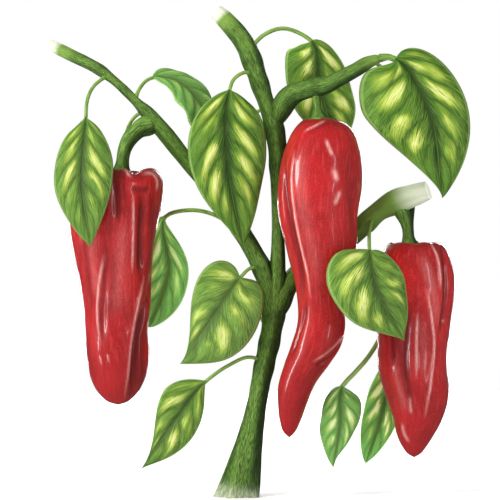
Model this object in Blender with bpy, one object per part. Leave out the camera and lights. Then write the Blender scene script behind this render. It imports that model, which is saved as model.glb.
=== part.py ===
"""A fruiting chilli pepper plant: one main stem, three boughs, three ripe fruit and its leaves.

Sizes are in millimetres in the tables and become metres in the meshes. +Z is up and -Y is the
front. The origin is the centre of the flat cut under the main stem, at ground level.
Every stem and leaf is a skin: a grid that is wrapped round a smooth route.
"""

import math

import bmesh
import bpy
from mathutils import Vector

MM = 0.001
WELD = 0.00001
CLEARANCE = 0.3  # gap between a piece and the one that carries it

STEM_SIDES = 12
STEM_RINGS_EACH_MM = 0.16
TWIG_SIDES = 8
FRUIT_SIDES = 28
FRUIT_RINGS = 26
LEAF_SIDES = 12
PETIOLE_RINGS = 6
BLADE_RINGS = 10

PETIOLE_RADIUS = 1.15
LEAF_THICKNESS = 1.1

FRONT = (0.0, -1.0, 0.0)
BACK = (0.0, 1.0, 0.0)

# Limbs: centre line and radius, x, y, z, r, from the foot of the limb to its cut end.
MAIN_STEM = [
    (-0.8, 0, -4, 11.4), (1.6, 0, 8.5, 9.0), (4.2, 0, 23, 7.0), (7.2, 0, 38.5, 5.4), (11, 0, 58.5, 4.6),
    (15.5, 0.5, 79, 4.8), (18.4, 1, 97, 5.3), (19.5, 1, 117, 3.8), (19.5, 1, 132, 3.1),
    (19.1, 1, 152, 3.2), (19.0, 0, 176, 4.6), (16.4, 0, 189.5, 4.6), (13, 1, 199.5, 4.1),
    (8.5, 2, 213, 4.5), (1.8, 4, 228.8, 4.9), (-7.5, 6, 239.6, 4.4), (-11.5, 7, 243.6, 4.0),
]
LEFT_BOUGH = [
    (17, 1, 91, 4.4), (12.8, 1, 111, 4.6), (2.2, 3, 131, 4.2), (-12, 5, 151, 3.7),
    (-25.5, 7, 167.4, 3.7), (-37.2, 9, 182.3, 4.1), (-44.2, 10, 190.4, 3.6), (-51.6, 12, 198, 2.3),
    (-64, 17.5, 209.8, 2.2), (-71, 21.5, 215, 2.7), (-84.9, 30, 222.4, 3.1), (-97, 37, 228.8, 2.9),
]
UPPER_RIGHT_BOUGH = [
    (18.8, -0.5, 188.5, 3.2), (24.8, -4, 199.4, 5.0), (37.2, -12, 204, 4.3), (43, -15, 205, 4.1),
    (50, -18, 208.5, 3.8), (57.7, -21, 212.5, 3.3), (64.6, -23, 216.5, 2.7), (70.5, -24, 218.4, 2.1),
]
RIGHT_BOUGH = [
    (18.5, 1, 93.5, 4.6), (24, 3, 105, 4.8), (30.5, 6, 112.6, 4.8), (43, 9, 121, 4.5),
    (55.5, 8, 129, 4.5), (63.5, 6, 136.6, 4.6), (71, 4, 143.4, 4.8), (79, 2, 147.6, 5.2),
    (87, 0, 150.6, 5.4), (94.5, -2, 153.2, 5.1),
]
RIGHT_TWIG = [
    (86, 2.5, 149.3, 1.8), (86.3, 12, 138, 1.7), (87, 21, 122, 1.6), (84.5, 25, 107, 1.5),
    (81, 24.2, 98.5, 1.4),
]

# Fruit stalks: centre line and radius from the bough down to the calyx.
LEFT_STALK = [
    (-43.5, 10, 187.3, 4.4), (-50, 10, 184.6, 4.3), (-55, 10, 179.8, 3.9), (-57.9, 10, 173.5, 3.3),
    (-58.9, 10, 167, 3.4), (-59.5, 10, 161.5, 5.3),
]
CENTRE_STALK = [
    (38.8, -12.5, 204, 2.3), (38.8, -14, 197, 1.9), (39.2, -15.5, 192.5, 2.1), (39.8, -16, 189, 4.2),
]
RIGHT_STALK = [
    (80.5, 1, 145, 3.4), (83.3, 0.5, 138.5, 3.0), (84.5, 0, 132.5, 2.6), (85, 0, 128.5, 3.4),
    (85.5, 0, 124.5, 5.4),
]

# Fruit: x, z and radius of the level slices, from the hollow under the calyx to the tip.
# Grooves: angle from the front in degrees, depth as a share of the radius, width in degrees,
# and where along the fruit each starts and ends, as shares of its length.
FRUITS = {
    "left_fruit": {
        "depth": 10.0,
        "slices": [
            (-60, 158.7, 0), (-60, 159.5, 6), (-60.4, 163, 12), (-60.8, 164.2, 18), (-61, 159.8, 22.2),
            (-61.4, 151, 23.3), (-62.6, 140.5, 22.4), (-63.6, 128.5, 20.9), (-62.6, 112.5, 18.6),
            (-61.6, 96.5, 16.9), (-61.8, 83.5, 15.8), (-61, 68.5, 15.6), (-61, 58, 13.3),
            (-61, 51.3, 9.8), (-61, 47.2, 5.3), (-61, 45.5, 0),
        ],
        "grooves": [
            (-14, 0.16, 15, 0.10, 0.80), (50, 0.15, 14, 0.00, 0.95), (8, 0.10, 9, 0.00, 0.35),
            (-78, 0.10, 16, 0.00, 0.70), (118, 0.14, 17, 0.00, 0.90), (-150, 0.13, 18, 0.00, 0.85),
        ],
        "crown": (3, 2.0, 75.0),
    },
    "centre_fruit": {
        "depth": -16.0,
        "slices": [
            (39.8, 187, 0), (39.9, 188, 3.6), (40.4, 188.2, 7), (41.3, 186.2, 11.2), (41.7, 181, 15.6),
            (41.5, 175, 18), (41, 167.5, 19.8), (40.3, 156, 20.7), (39.2, 141, 19.7), (40.6, 127.5, 18),
            (40.7, 117.5, 15.5), (40.5, 107.5, 12.7), (40.6, 98.5, 11.4), (40.9, 87.5, 11.8),
            (38.4, 76, 12.4), (34, 67.5, 11.2), (29, 57.5, 9.2), (26.5, 47.5, 7.3), (25.4, 38.5, 5),
            (25, 33.2, 2.8), (25, 30.5, 0),
        ],
        "grooves": [
            (-50, 0.13, 12, 0.08, 0.78), (62, 0.07, 15, 0.25, 0.60), (150, 0.10, 18, 0.05, 0.80),
            (-120, 0.08, 18, 0.05, 0.60),
        ],
        "crown": (3, 0.4, 10.0),
    },
    "right_fruit": {
        "depth": 0.0,
        "slices": [
            (85.5, 121.5, 0), (85.6, 122.5, 5), (86.3, 126, 9), (88.3, 126.3, 12.5), (88.3, 122.8, 15.9),
            (88.2, 117.5, 18.2), (88.3, 108.5, 19.5), (88.3, 98.5, 19.4), (87.4, 86, 18.5),
            (86.9, 73.5, 17.4), (87.3, 62.5, 17.2), (88.8, 54.5, 16.5), (89.5, 46, 14.6),
            (89.4, 37.7, 12), (88.5, 31.7, 9.6), (87.9, 25.7, 6.4), (87.7, 21.5, 3.2), (87.7, 19.7, 0),
        ],
        "grooves": [
            (-16, 0.13, 11, 0.25, 0.85), (13, 0.11, 9, 0.30, 0.88), (42, 0.13, 10, 0.02, 0.80),
            (-60, 0.08, 14, 0.00, 0.60), (110, 0.12, 17, 0.00, 0.85), (-140, 0.12, 18, 0.00, 0.85),
        ],
        "crown": (5, 0.8, 20.0),
    },
}

# Leaves. "petiole" runs from inside the limb to the blade, "blade" along the midrib to the tip.
# "left" and "right" are the halves of the blade, tip down, seen face on: the half width, where
# along the blade it is reached, how slowly it is reached, and how far its lobe is pulled back.
LEAVES = {
    "leaf_far_left": {
        "on": "left_bough", "face": (-0.1, -1.0, 0.15),
        "left": (14.2, 0.46, 0.85, 0.0), "right": (15.7, 0.43, 0.85, 0.0),
        "petiole": [(-67, 19, 212), (-72.8, 12.5, 206.8), (-76, 2, 199)],
        "blade": [(-76.3, -8, 189.3), (-77.8, -17, 157), (-73.4, -19, 125)],
    },
    "leaf_left_arching": {
        "on": "left_bough", "face": (0.1, -0.62, 0.75),
        "left": (15.0, 0.59, 0.7, 0.0), "right": (14.0, 0.55, 0.6, 0.0),
        "petiole": [(-52.6, 12.5, 199.2), (-50, 14, 205.5), (-46.6, 16, 209.4)],
        "blade": [(-43.5, 17, 210.8), (-30.5, 19, 208.5), (-20.5, 20, 198.5), (-12.5, 20, 178)],
    },
    "leaf_middle": {
        "on": "main_stem", "face": (0.0, -1.0, 0.1),
        "left": (19.3, 0.39, 0.81, 0.0), "right": (20.0, 0.34, 0.48, 0.0),
        "petiole": [(7.8, 2, 212.3), (1.5, -4, 211.8), (-2.8, -7, 208.3)],
        "blade": [(-4.7, -9, 203.1), (-5.5, -15, 166), (2, -10, 125)],
    },
    "leaf_behind_left_fruit": {
        "on": "left_bough", "face": (0.35, -1.0, 0.0),
        "left": (12.0, 0.5, 0.7, 0.0), "right": (11.0, 0.60, 1.1, 0.0), "radius": 1.3,
        "petiole": [(-3.5, 4, 135.5), (-9, 7, 139.5), (-17.2, 12, 142.8), (-27, 19, 143.6)],
        "blade": [(-37.5, 28, 140.5), (-36.3, 33, 112.3), (-46, 29, 84)],
    },
    "leaf_fork": {
        "on": "left_bough", "face": (0.05, -1.0, 0.2),
        "left": (17.0, 0.31, 1.1, 1.25), "right": (21.7, 0.52, 1.16, 1.9),
        "petiole": [(11.5, 1.5, 115.5), (5, -4, 114)],
        "blade": [(0.7, -8, 109.8), (-12.4, -14, 91), (-29.3, -10, 66.8)],
    },
    "leaf_low_left": {
        "on": "main_stem", "face": (0.15, -1.0, 0.25),
        "left": (13.1, 0.31, 1.15, 0.1), "right": (12.2, 0.51, 1.25, 0.45),
        "petiole": [(12.5, 0, 68), (4.5, -4, 70), (-4.5, -6, 66.3)],
        "blade": [(-16.3, -9, 58.2), (-30.3, -13, 41), (-48.7, -10, 14.6)],
    },
    "leaf_top": {
        "on": "main_stem", "face": (0.0, -1.0, 0.35),
        "left": (18.1, 0.33, 0.39, 0.5), "right": (18.0, 0.51, 0.86, 0.2), "radius": 1.3,
        "petiole": [(4.4, 3, 223), (12.5, 4, 231.5), (22, 7, 235), (30.7, 9, 232.6)],
        "blade": [(36.2, 10, 229), (40.7, 15, 206.5), (49.8, 12, 173.8)],
    },
    "leaf_upper_right": {
        "on": "upper_right_bough", "face": (-0.25, -1.0, 0.2), "radius": 1.7,
        "left": (31.2, 0.41, 1.31, 1.4), "right": (18.5, 0.42, 0.59, 0.35),
        "petiole": [(69.5, -23.8, 218.2), (74, -25, 218.6)],
        "blade": [(77.3, -26, 217.3), (92.2, -32, 195.5), (100.1, -28, 149)],
    },
    "leaf_between_fruits": {
        "on": "right_bough", "face": (0.1, -1.0, 0.25),
        "left": (23.2, 0.32, 0.64, 0.35), "right": (15.0, 0.48, 1.2, 1.35),
        "petiole": [(67.3, 5, 140.5), (65.2, -7, 133.5), (64.4, -22, 128)],
        "blade": [(64.2, -34, 123.2), (68, -42, 102.6), (81.2, -36, 78.8)],
    },
    "leaf_low_right": {
        "on": "right_twig", "face": (0.15, -1.0, 0.1),
        "left": (10.2, 0.46, 0.8, 0.2), "right": (11.2, 0.27, 0.6, 0.3),
        "petiole": [(82.2, 24.6, 101), (77, 21.5, 91), (70.5, 12, 78), (64, 5, 68.5), (57, 0, 61)],
        "blade": [(51.5, -3, 55.2), (50.6, -7, 37.5), (47.2, -5, 14.9)],
    },
    "leaf_behind_right_fruit": {
        "on": "right_twig", "face": (-0.1, -1.0, 0.0),
        "left": (9.8, 0.50, 0.8, 0.0), "right": (8.4, 0.50, 0.9, 0.0),
        "petiole": [(85.5, 24.7, 108), (83, 30.5, 97), (80.5, 30, 84)],
        "blade": [(77.8, 26.5, 70), (72.6, 22, 40), (64, 15, 15.7)],
    },
    "leaf_back_centre": {
        "on": "main_stem", "face": (-0.2, 1.0, 0.2),
        "left": (14.0, 0.38, 0.6, 0.3), "right": (14.0, 0.38, 0.6, 0.3),
        "petiole": [(19.1, 1, 170), (21, 12, 175), (26, 27, 176.5)],
        "blade": [(31.5, 37, 172.5), (38, 47, 151), (42.5, 44, 124)],
    },
    "leaf_back_left": {
        "on": "left_bough", "face": (0.1, 1.0, 0.1),
        "left": (15.5, 0.38, 0.6, 0.3), "right": (15.0, 0.38, 0.6, 0.3),
        "petiole": [(-47.5, 11, 194), (-53, 21, 191), (-58, 35, 183), (-60.5, 45, 172)],
        "blade": [(-61, 50, 164), (-63.8, 59, 136), (-62, 54, 104)],
    },
    "leaf_back_upper_right": {
        "on": "upper_right_bough", "face": (0.2, 1.0, 0.2),
        "left": (13.5, 0.38, 0.7, 0.2), "right": (13.0, 0.38, 0.7, 0.2),
        "petiole": [(61.5, -22, 215), (65, -12, 217), (71, 1, 215.5)],
        "blade": [(77.5, 10, 210), (87, 20, 190), (93.5, 18, 165)],
    },
    "leaf_back_middle": {
        "on": "main_stem", "face": (-0.3, 1.0, 0.2),
        "left": (13.0, 0.38, 0.7, 0.2), "right": (13.0, 0.38, 0.7, 0.2),
        "petiole": [(15.5, 1, 192.5), (12.5, 12, 194.5), (7.5, 25, 192.5)],
        "blade": [(2.5, 34, 187), (-4, 44, 168), (-6.5, 42, 142)],
    },
    "leaf_back_fork": {
        "on": "main_stem", "face": (-0.4, 1.0, 0.3),
        "left": (10.5, 0.38, 0.7, 0.2), "right": (10.5, 0.38, 0.7, 0.2),
        "petiole": [(15.8, 0.5, 81), (12.5, 11, 87), (8.5, 22, 91)],
        "blade": [(3.5, 30, 92), (-6.5, 38, 84), (-18, 36, 68)],
    },
    "leaf_back_right": {
        "on": "right_twig", "face": (0.35, 1.0, 0.2),
        "left": (11.0, 0.40, 0.6, 0.2), "right": (11.0, 0.40, 0.6, 0.2),
        "petiole": [(87, 19.5, 125), (90, 30, 127.5), (92.5, 40, 125)],
        "blade": [(94, 46, 120), (96.5, 54, 100), (95, 51, 73)],
    },
    "leaf_back_low": {
        "on": "right_bough", "face": (0.1, 1.0, 0.2),
        "left": (9.6, 0.38, 0.6, 0.2), "right": (9.6, 0.38, 0.6, 0.2),
        "petiole": [(42, 9, 120.3), (43.5, 20, 121.5), (43.5, 33, 118)],
        "blade": [(42.5, 42, 111), (41, 50, 91), (36.5, 46, 66)],
    },
}

COLOURS = {
    "stem": ((0.130, 0.260, 0.045), 0.55),
    "leaf": ((0.115, 0.300, 0.035), 0.45),
    "fruit": ((0.560, 0.018, 0.020), 0.25),
}


def material(kind):
    """The plain finish of one kind of piece."""
    name = "plain_" + kind
    if name in bpy.data.materials:
        return bpy.data.materials[name]
    colour, roughness = COLOURS[kind]
    made = bpy.data.materials.new(name)
    made.use_nodes = True
    shader = made.node_tree.nodes["Principled BSDF"]
    shader.inputs["Base Color"].default_value = (*colour, 1.0)
    shader.inputs["Roughness"].default_value = roughness
    return made


def spline(points, each=14):
    """A smooth line through the points, which may carry more numbers than three."""
    points = [Vector(p) for p in points]
    spans = [(b - a).length for a, b in zip(points, points[1:])]
    slopes = [(b - a) / d for a, b, d in zip(points, points[1:], spans)]
    middle = [
        (s0 * d1 + s1 * d0) / (d0 + d1)
        for s0, s1, d0, d1 in zip(slopes, slopes[1:], spans, spans[1:])
    ]
    slopes = [slopes[0], *middle, slopes[-1]]
    line = [points[0]]
    for i, d in enumerate(spans):
        for k in range(1, each + 1):
            t = k / each
            line.append(
                points[i] * (2 * t**3 - 3 * t**2 + 1)
                + slopes[i] * d * (t**3 - 2 * t**2 + t)
                + points[i + 1] * (3 * t**2 - 2 * t**3)
                + slopes[i + 1] * d * (t**3 - t**2)
            )
    return line


def lengths_along(line):
    """How far along the line each of its points is."""
    total = [0.0]
    for a, b in zip(line, line[1:]):
        total.append(total[-1] + (b - a).length)
    return total


def lookup(line, lengths, distance):
    """The point of the line at a distance along it."""
    for i in range(1, len(line)):
        if distance <= lengths[i]:
            step = lengths[i] - lengths[i - 1]
            return line[i - 1].lerp(line[i], (distance - lengths[i - 1]) / step if step else 0.0)
    return line[-1].copy()


class Route:
    """A smooth centre line with a frame that follows it without twisting."""

    def __init__(self, points, face, anchor=0.0):
        self.line = spline([p[:3] for p in points])
        self.lengths = lengths_along(self.line)
        self.length = self.lengths[-1]
        self.anchor = anchor
        start = min(range(len(self.line)), key=lambda i: abs(self.lengths[i] - anchor))
        tangents = [self.tangent(i) for i in range(len(self.line))]
        sides = [None] * len(self.line)
        sides[start] = Vector(face).cross(tangents[start]).normalized()
        for i in range(start + 1, len(self.line)):
            sides[i] = self.carried(sides[i - 1], tangents[i])
        for i in range(start - 1, -1, -1):
            sides[i] = self.carried(sides[i + 1], tangents[i])
        self.tangents, self.sides = tangents, sides

    def tangent(self, i):
        low, high = max(0, i - 1), min(len(self.line) - 1, i + 1)
        return (self.line[high] - self.line[low]).normalized()

    @staticmethod
    def carried(side, tangent):
        return (side - tangent * side.dot(tangent)).normalized()

    def frame(self, distance):
        """(point, tangent, side, up) at a distance along the route."""
        tangent = lookup(self.tangents, self.lengths, distance).normalized()
        side = self.carried(lookup(self.sides, self.lengths, distance), tangent)
        return lookup(self.line, self.lengths, distance), tangent, side, tangent.cross(side)


def skin(name, around, along, place, kind, grow=0.0):
    """One closed solid: a grid wrapped by place(u, v), with its seam welded and its ends filled.

    With grow it is that much fatter all round.
    """
    bm = bmesh.new()
    bmesh.ops.create_grid(bm, x_segments=around, y_segments=along, size=0.5)
    for vert in bm.verts:
        vert.co = place(vert.co.x + 0.5, vert.co.y + 0.5) * MM
    bmesh.ops.remove_doubles(bm, verts=bm.verts, dist=WELD)
    bmesh.ops.holes_fill(bm, edges=bm.edges, sides=0)
    bmesh.ops.recalc_face_normals(bm, faces=bm.faces)
    bm.normal_update()
    for vert, outward in [(vert, vert.normal.copy()) for vert in bm.verts]:
        vert.co += outward * grow * MM
    mesh = bpy.data.meshes.new(name)
    bm.to_mesh(mesh)
    bm.free()
    mesh.shade_smooth()
    mesh.materials.append(material(kind))
    made = bpy.data.objects.new(name, mesh)
    bpy.context.scene.collection.objects.link(made)
    return made


def as_cutter(made):
    """Turns a solid into a helper that only cuts others."""
    made.hide_render = True
    made.display_type = "WIRE"
    return made


def trim(made, cutter):
    """Cuts a piece back so that it stops at the cutter."""
    cut = made.modifiers.new(cutter.name, "BOOLEAN")
    cut.operation = "DIFFERENCE"
    cut.object = cutter


def limb(name, points, sides, grow=0.0):
    """A round tapering limb through its points."""
    route = Route(points, FRONT)
    shape = spline(points)
    reach = lengths_along([p.to_3d() for p in shape])
    rings = max(6, round(route.length * STEM_RINGS_EACH_MM))

    def place(u, v):
        distance = v * route.length
        point, _, side, up = route.frame(distance)
        radius = lookup(shape, reach, distance)[3]
        angle = 2 * math.pi * u
        return point + (side * math.cos(angle) + up * math.sin(angle)) * radius

    return skin(name, sides, rings, place, "stem", grow)


def window(value, low, high, soft=0.12):
    """1 between low and high, falling smoothly to 0 outside them."""
    rise = min(1.0, max(0.0, (value - low) / soft + 0.5))
    fall = min(1.0, max(0.0, (high - value) / soft + 0.5))
    return rise * rise * (3 - 2 * rise) * fall * fall * (3 - 2 * fall)


def turn_between(a, b):
    """The smallest angle between two directions, in degrees."""
    return (a - b + 180.0) % 360.0 - 180.0


def fruit(name, called, grow=0.0):
    """A ripe fruit: level slices pulled in along its grooves, with a lobed rim round the stalk."""
    facts = FRUITS[name]
    rim = spline([(x, z, r) for x, z, r in facts["slices"]])
    reach = lengths_along(rim)
    top = max(z for _, z, _ in facts["slices"])
    low = facts["slices"][-1][1]
    lobes, rise, turn = facts["crown"]

    def place(u, v):
        x, z, radius = lookup(rim, reach, v * reach[-1])
        degrees = 360.0 * u
        down = (top - z) / (top - low)
        for angle, depth, width, start, end in facts["grooves"]:
            near = math.exp(-((turn_between(degrees, angle) / width) ** 2))
            radius *= 1.0 - depth * near * window(down, start, end)
        on_rim = math.exp(-((down / 0.07) ** 2)) * min(1.0, radius / 9.0)
        z += rise * math.cos(math.radians(lobes * (degrees - turn))) * on_rim
        angle = math.radians(degrees)
        return Vector((x + radius * math.sin(angle), facts["depth"] - radius * math.cos(angle), z))

    return skin(called, FRUIT_SIDES, FRUIT_RINGS, place, "fruit", grow)


def leaf(name):
    """A leaf and its petiole as one loft: a round stalk that flattens into a folded blade."""
    facts = LEAVES[name]
    points = facts["petiole"] + facts["blade"]
    stalk = len(facts["petiole"])
    plain = spline(points)
    each = (len(plain) - 1) // (len(points) - 1)
    base = lengths_along(plain)[stalk * each]
    route = Route(points, facts["face"], anchor=base)
    blade = route.length - base
    radius = facts.get("radius", PETIOLE_RADIUS)
    fold, curl = facts.get("fold", 0.34), facts.get("curl", 0.40)
    rings = PETIOLE_RINGS + BLADE_RINGS

    def outline(t, side):
        """The width of one half of the blade at t, base to tip, and how far it is pulled back."""
        half, widest, rise, lobe = facts[side]
        fall = rise * (1 - widest) / widest
        width = half * (t / widest) ** rise * ((1 - t) / (1 - widest)) ** fall
        return width, width * lobe * (1 - t) ** 3

    def place(u, v):
        ring = round(v * rings)
        if ring <= PETIOLE_RINGS:
            t, distance = 0.0, base * ring / PETIOLE_RINGS
        else:
            t = ((ring - PETIOLE_RINGS) / BLADE_RINGS) ** 1.15
            distance = base + blade * t
        point, tangent, side, up = route.frame(distance)
        across = 4 * u - 1 if u <= 0.5 else 3 - 4 * u
        upper = 1.0 if u <= 0.5 else -1.0
        half, back = outline(t, "right" if across > 0 else "left")
        taken = max(half, radius * (1 - t))
        flat = min(1.0, t / 0.06)
        thick = (radius * (1 - flat) + LEAF_THICKNESS / 2 * flat) * (1 - t) ** 0.35
        rise = half * (fold * abs(across) - curl * across * across)
        return (
            point
            + side * across * taken
            + up * (rise + upper * thick * math.sqrt(max(0.0, 1 - across * across)))
            - tangent * back * across * across
        )

    return skin(name, LEAF_SIDES, rings, place, "leaf")


def ground():
    """Everything under ground level, as a cutter."""
    bm = bmesh.new()
    bmesh.ops.create_cube(bm, size=0.1)
    bmesh.ops.translate(bm, verts=bm.verts, vec=(0, 0, -0.05))
    mesh = bpy.data.meshes.new("ground")
    bm.to_mesh(mesh)
    bm.free()
    made = bpy.data.objects.new("ground", mesh)
    bpy.context.scene.collection.objects.link(made)
    return as_cutter(made)


def build_limbs():
    """The main stem, the boughs and the twig. Returns the cutters that seat what they carry."""
    limbs = {
        "main_stem": (MAIN_STEM, STEM_SIDES, None),
        "left_bough": (LEFT_BOUGH, STEM_SIDES, "main_stem"),
        "upper_right_bough": (UPPER_RIGHT_BOUGH, STEM_SIDES, "main_stem"),
        "right_bough": (RIGHT_BOUGH, STEM_SIDES, "main_stem"),
        "right_twig": (RIGHT_TWIG, TWIG_SIDES, "right_bough"),
    }
    cutters = {}
    for name, (points, sides, parent) in limbs.items():
        made = limb(name, points, sides)
        cutters[name] = as_cutter(limb(name + "_clearance", points, sides, CLEARANCE))
        trim(made, cutters[parent] if parent else ground())
    return cutters


def build_fruit(cutters):
    """Each fruit hangs under its stalk, and the stalk grows from its bough."""
    stalks = {
        "left": (LEFT_STALK, "left_bough"),
        "centre": (CENTRE_STALK, "upper_right_bough"),
        "right": (RIGHT_STALK, "right_bough"),
    }
    for place, (points, bough) in stalks.items():
        name = place + "_fruit"
        fruit(name, name)
        hollow = fruit(name, name + "_clearance", CLEARANCE)
        stalk = limb(name + "_stalk", points, STEM_SIDES)
        trim(stalk, cutters[bough])
        trim(stalk, as_cutter(hollow))


def build_leaves(cutters):
    for name, facts in LEAVES.items():
        trim(leaf(name), cutters[facts["on"]])


def main():
    for old in list(bpy.data.objects):
        bpy.data.objects.remove(old)
    cutters = build_limbs()
    build_fruit(cutters)
    build_leaves(cutters)


main()
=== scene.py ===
"""The looks of the chilli pepper plant, laid over its solids.

Each group of pieces has an operator that makes it: the stage, the limbs, the fruit, the fruit
stalks and the leaves. Tables are in millimetres and meshes in metres. +Z is up, -Y is the
front, and the origin is the centre of the flat cut under the main stem.
"""

import math
from functools import lru_cache

import bmesh
import bpy
from bpy.props import FloatProperty, FloatVectorProperty, PointerProperty
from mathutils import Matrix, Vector, noise


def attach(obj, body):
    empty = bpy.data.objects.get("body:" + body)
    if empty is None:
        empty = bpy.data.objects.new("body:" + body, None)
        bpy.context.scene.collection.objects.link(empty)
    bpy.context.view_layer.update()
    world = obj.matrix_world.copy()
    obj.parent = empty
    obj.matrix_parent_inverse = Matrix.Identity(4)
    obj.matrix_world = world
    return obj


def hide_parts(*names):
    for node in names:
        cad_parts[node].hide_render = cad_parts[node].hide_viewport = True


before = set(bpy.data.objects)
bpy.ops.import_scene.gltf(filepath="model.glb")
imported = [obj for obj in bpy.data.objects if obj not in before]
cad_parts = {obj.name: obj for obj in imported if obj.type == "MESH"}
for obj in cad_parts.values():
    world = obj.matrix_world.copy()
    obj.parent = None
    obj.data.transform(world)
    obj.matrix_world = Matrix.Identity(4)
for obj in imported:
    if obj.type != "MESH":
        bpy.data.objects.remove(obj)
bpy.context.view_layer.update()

bl_info = {
    "name": "Chilli Pepper Plant",
    "version": (1, 0, 0),
    "blender": (4, 5, 0),
    "location": "3D View > Sidebar > Chilli",
    "description": "Dresses the solids of a fruiting chilli pepper plant",
    "category": "Object",
}

MM = 0.001
WELD = 0.00001
FRONT = (0.0, -1.0, 0.0)

# Limbs. "route" is x, y, z and radius from the foot of a limb to its end, and "knots" how far
# along it something grows from it. "fade" is how far back from a clean cut the bark is pale,
# and 0 where the limb ends uncut. "shaded" is how strong the painted shade on its right and
# under it is.
LIMBS = {
    "main_stem": {
        "fade": 16.0, "shaded": 1.0,
        "knots": (70.0, 82.0, 96.0, 171.0, 190.0, 213.0, 226.0),
        "route": [
            (-0.8, 0, -4, 11.4), (1.6, 0, 8.5, 9.0), (4.2, 0, 23, 7.0), (7.2, 0, 38.5, 5.4),
            (11, 0, 58.5, 4.6), (15.5, 0.5, 79, 4.8), (18.4, 1, 97, 5.3), (19.5, 1, 117, 3.8),
            (19.5, 1, 132, 3.1), (19.1, 1, 152, 3.2), (19.0, 0, 176, 4.6), (16.4, 0, 189.5, 4.6),
            (13, 1, 199.5, 4.1), (8.5, 2, 213, 4.5), (1.8, 4, 228.8, 4.9), (-7.5, 6, 239.6, 4.4),
            (-11.5, 7, 243.6, 4.0),
        ],
    },
    "left_bough": {
        "fade": 22.0, "shaded": 0.9, "knots": (24.0, 49.0, 124.0, 138.0, 156.0),
        "route": [
            (17, 1, 91, 4.4), (12.8, 1, 111, 4.6), (2.2, 3, 131, 4.2), (-12, 5, 151, 3.7),
            (-25.5, 7, 167.4, 3.7), (-37.2, 9, 182.3, 4.1), (-44.2, 10, 190.4, 3.6),
            (-51.6, 12, 198, 2.3), (-64, 17.5, 209.8, 2.2), (-71, 21.5, 215, 2.7),
            (-84.9, 30, 222.4, 3.1), (-97, 37, 228.8, 2.9),
        ],
    },
    "upper_right_bough": {
        "fade": 0.0, "shaded": 1.0, "knots": (31.0, 58.0),
        "route": [
            (18.8, -0.5, 188.5, 3.2), (24.8, -4, 199.4, 5.0), (37.2, -12, 204, 4.3),
            (43, -15, 205, 4.1), (50, -18, 208.5, 3.8), (57.7, -21, 212.5, 3.3),
            (64.6, -23, 216.5, 2.7), (70.5, -24, 218.4, 2.1),
        ],
    },
    "right_bough": {
        "fade": 60.0, "shaded": 0.4, "knots": (66.0, 82.0, 87.0),
        "route": [
            (18.5, 1, 93.5, 4.6), (24, 3, 105, 4.8), (30.5, 6, 112.6, 4.8), (43, 9, 121, 4.5),
            (55.5, 8, 129, 4.5), (63.5, 6, 136.6, 4.6), (71, 4, 143.4, 4.8), (79, 2, 147.6, 5.2),
            (87, 0, 150.6, 5.4), (94.5, -2, 153.2, 5.1),
        ],
    },
    "right_twig": {
        "fade": 0.0, "shaded": 0.6, "knots": (26.0, 44.0),
        "route": [
            (86, 2.5, 149.3, 1.8), (86.3, 12, 138, 1.7), (87, 21, 122, 1.6), (84.5, 25, 107, 1.5),
            (81, 24.2, 98.5, 1.4),
        ],
    },
}

# Fruit stalks: x, y, z and radius from the bough down to the calyx on the fruit.
STALKS = {
    "left_fruit_stalk": [
        (-43.5, 10, 187.3, 4.4), (-50, 10, 184.6, 4.3), (-55, 10, 179.8, 3.9),
        (-57.9, 10, 173.5, 3.3), (-58.9, 10, 167, 3.4), (-59.5, 10, 161.5, 5.3),
    ],
    "centre_fruit_stalk": [
        (38.8, -12.5, 204, 2.3), (38.8, -14, 197, 1.9), (39.2, -15.5, 192.5, 2.1),
        (39.8, -16, 189, 4.2),
    ],
    "right_fruit_stalk": [
        (80.5, 1, 145, 3.4), (83.3, 0.5, 138.5, 3.0), (84.5, 0, 132.5, 2.6), (85, 0, 128.5, 3.4),
        (85.5, 0, 124.5, 5.4),
    ],
}
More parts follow.
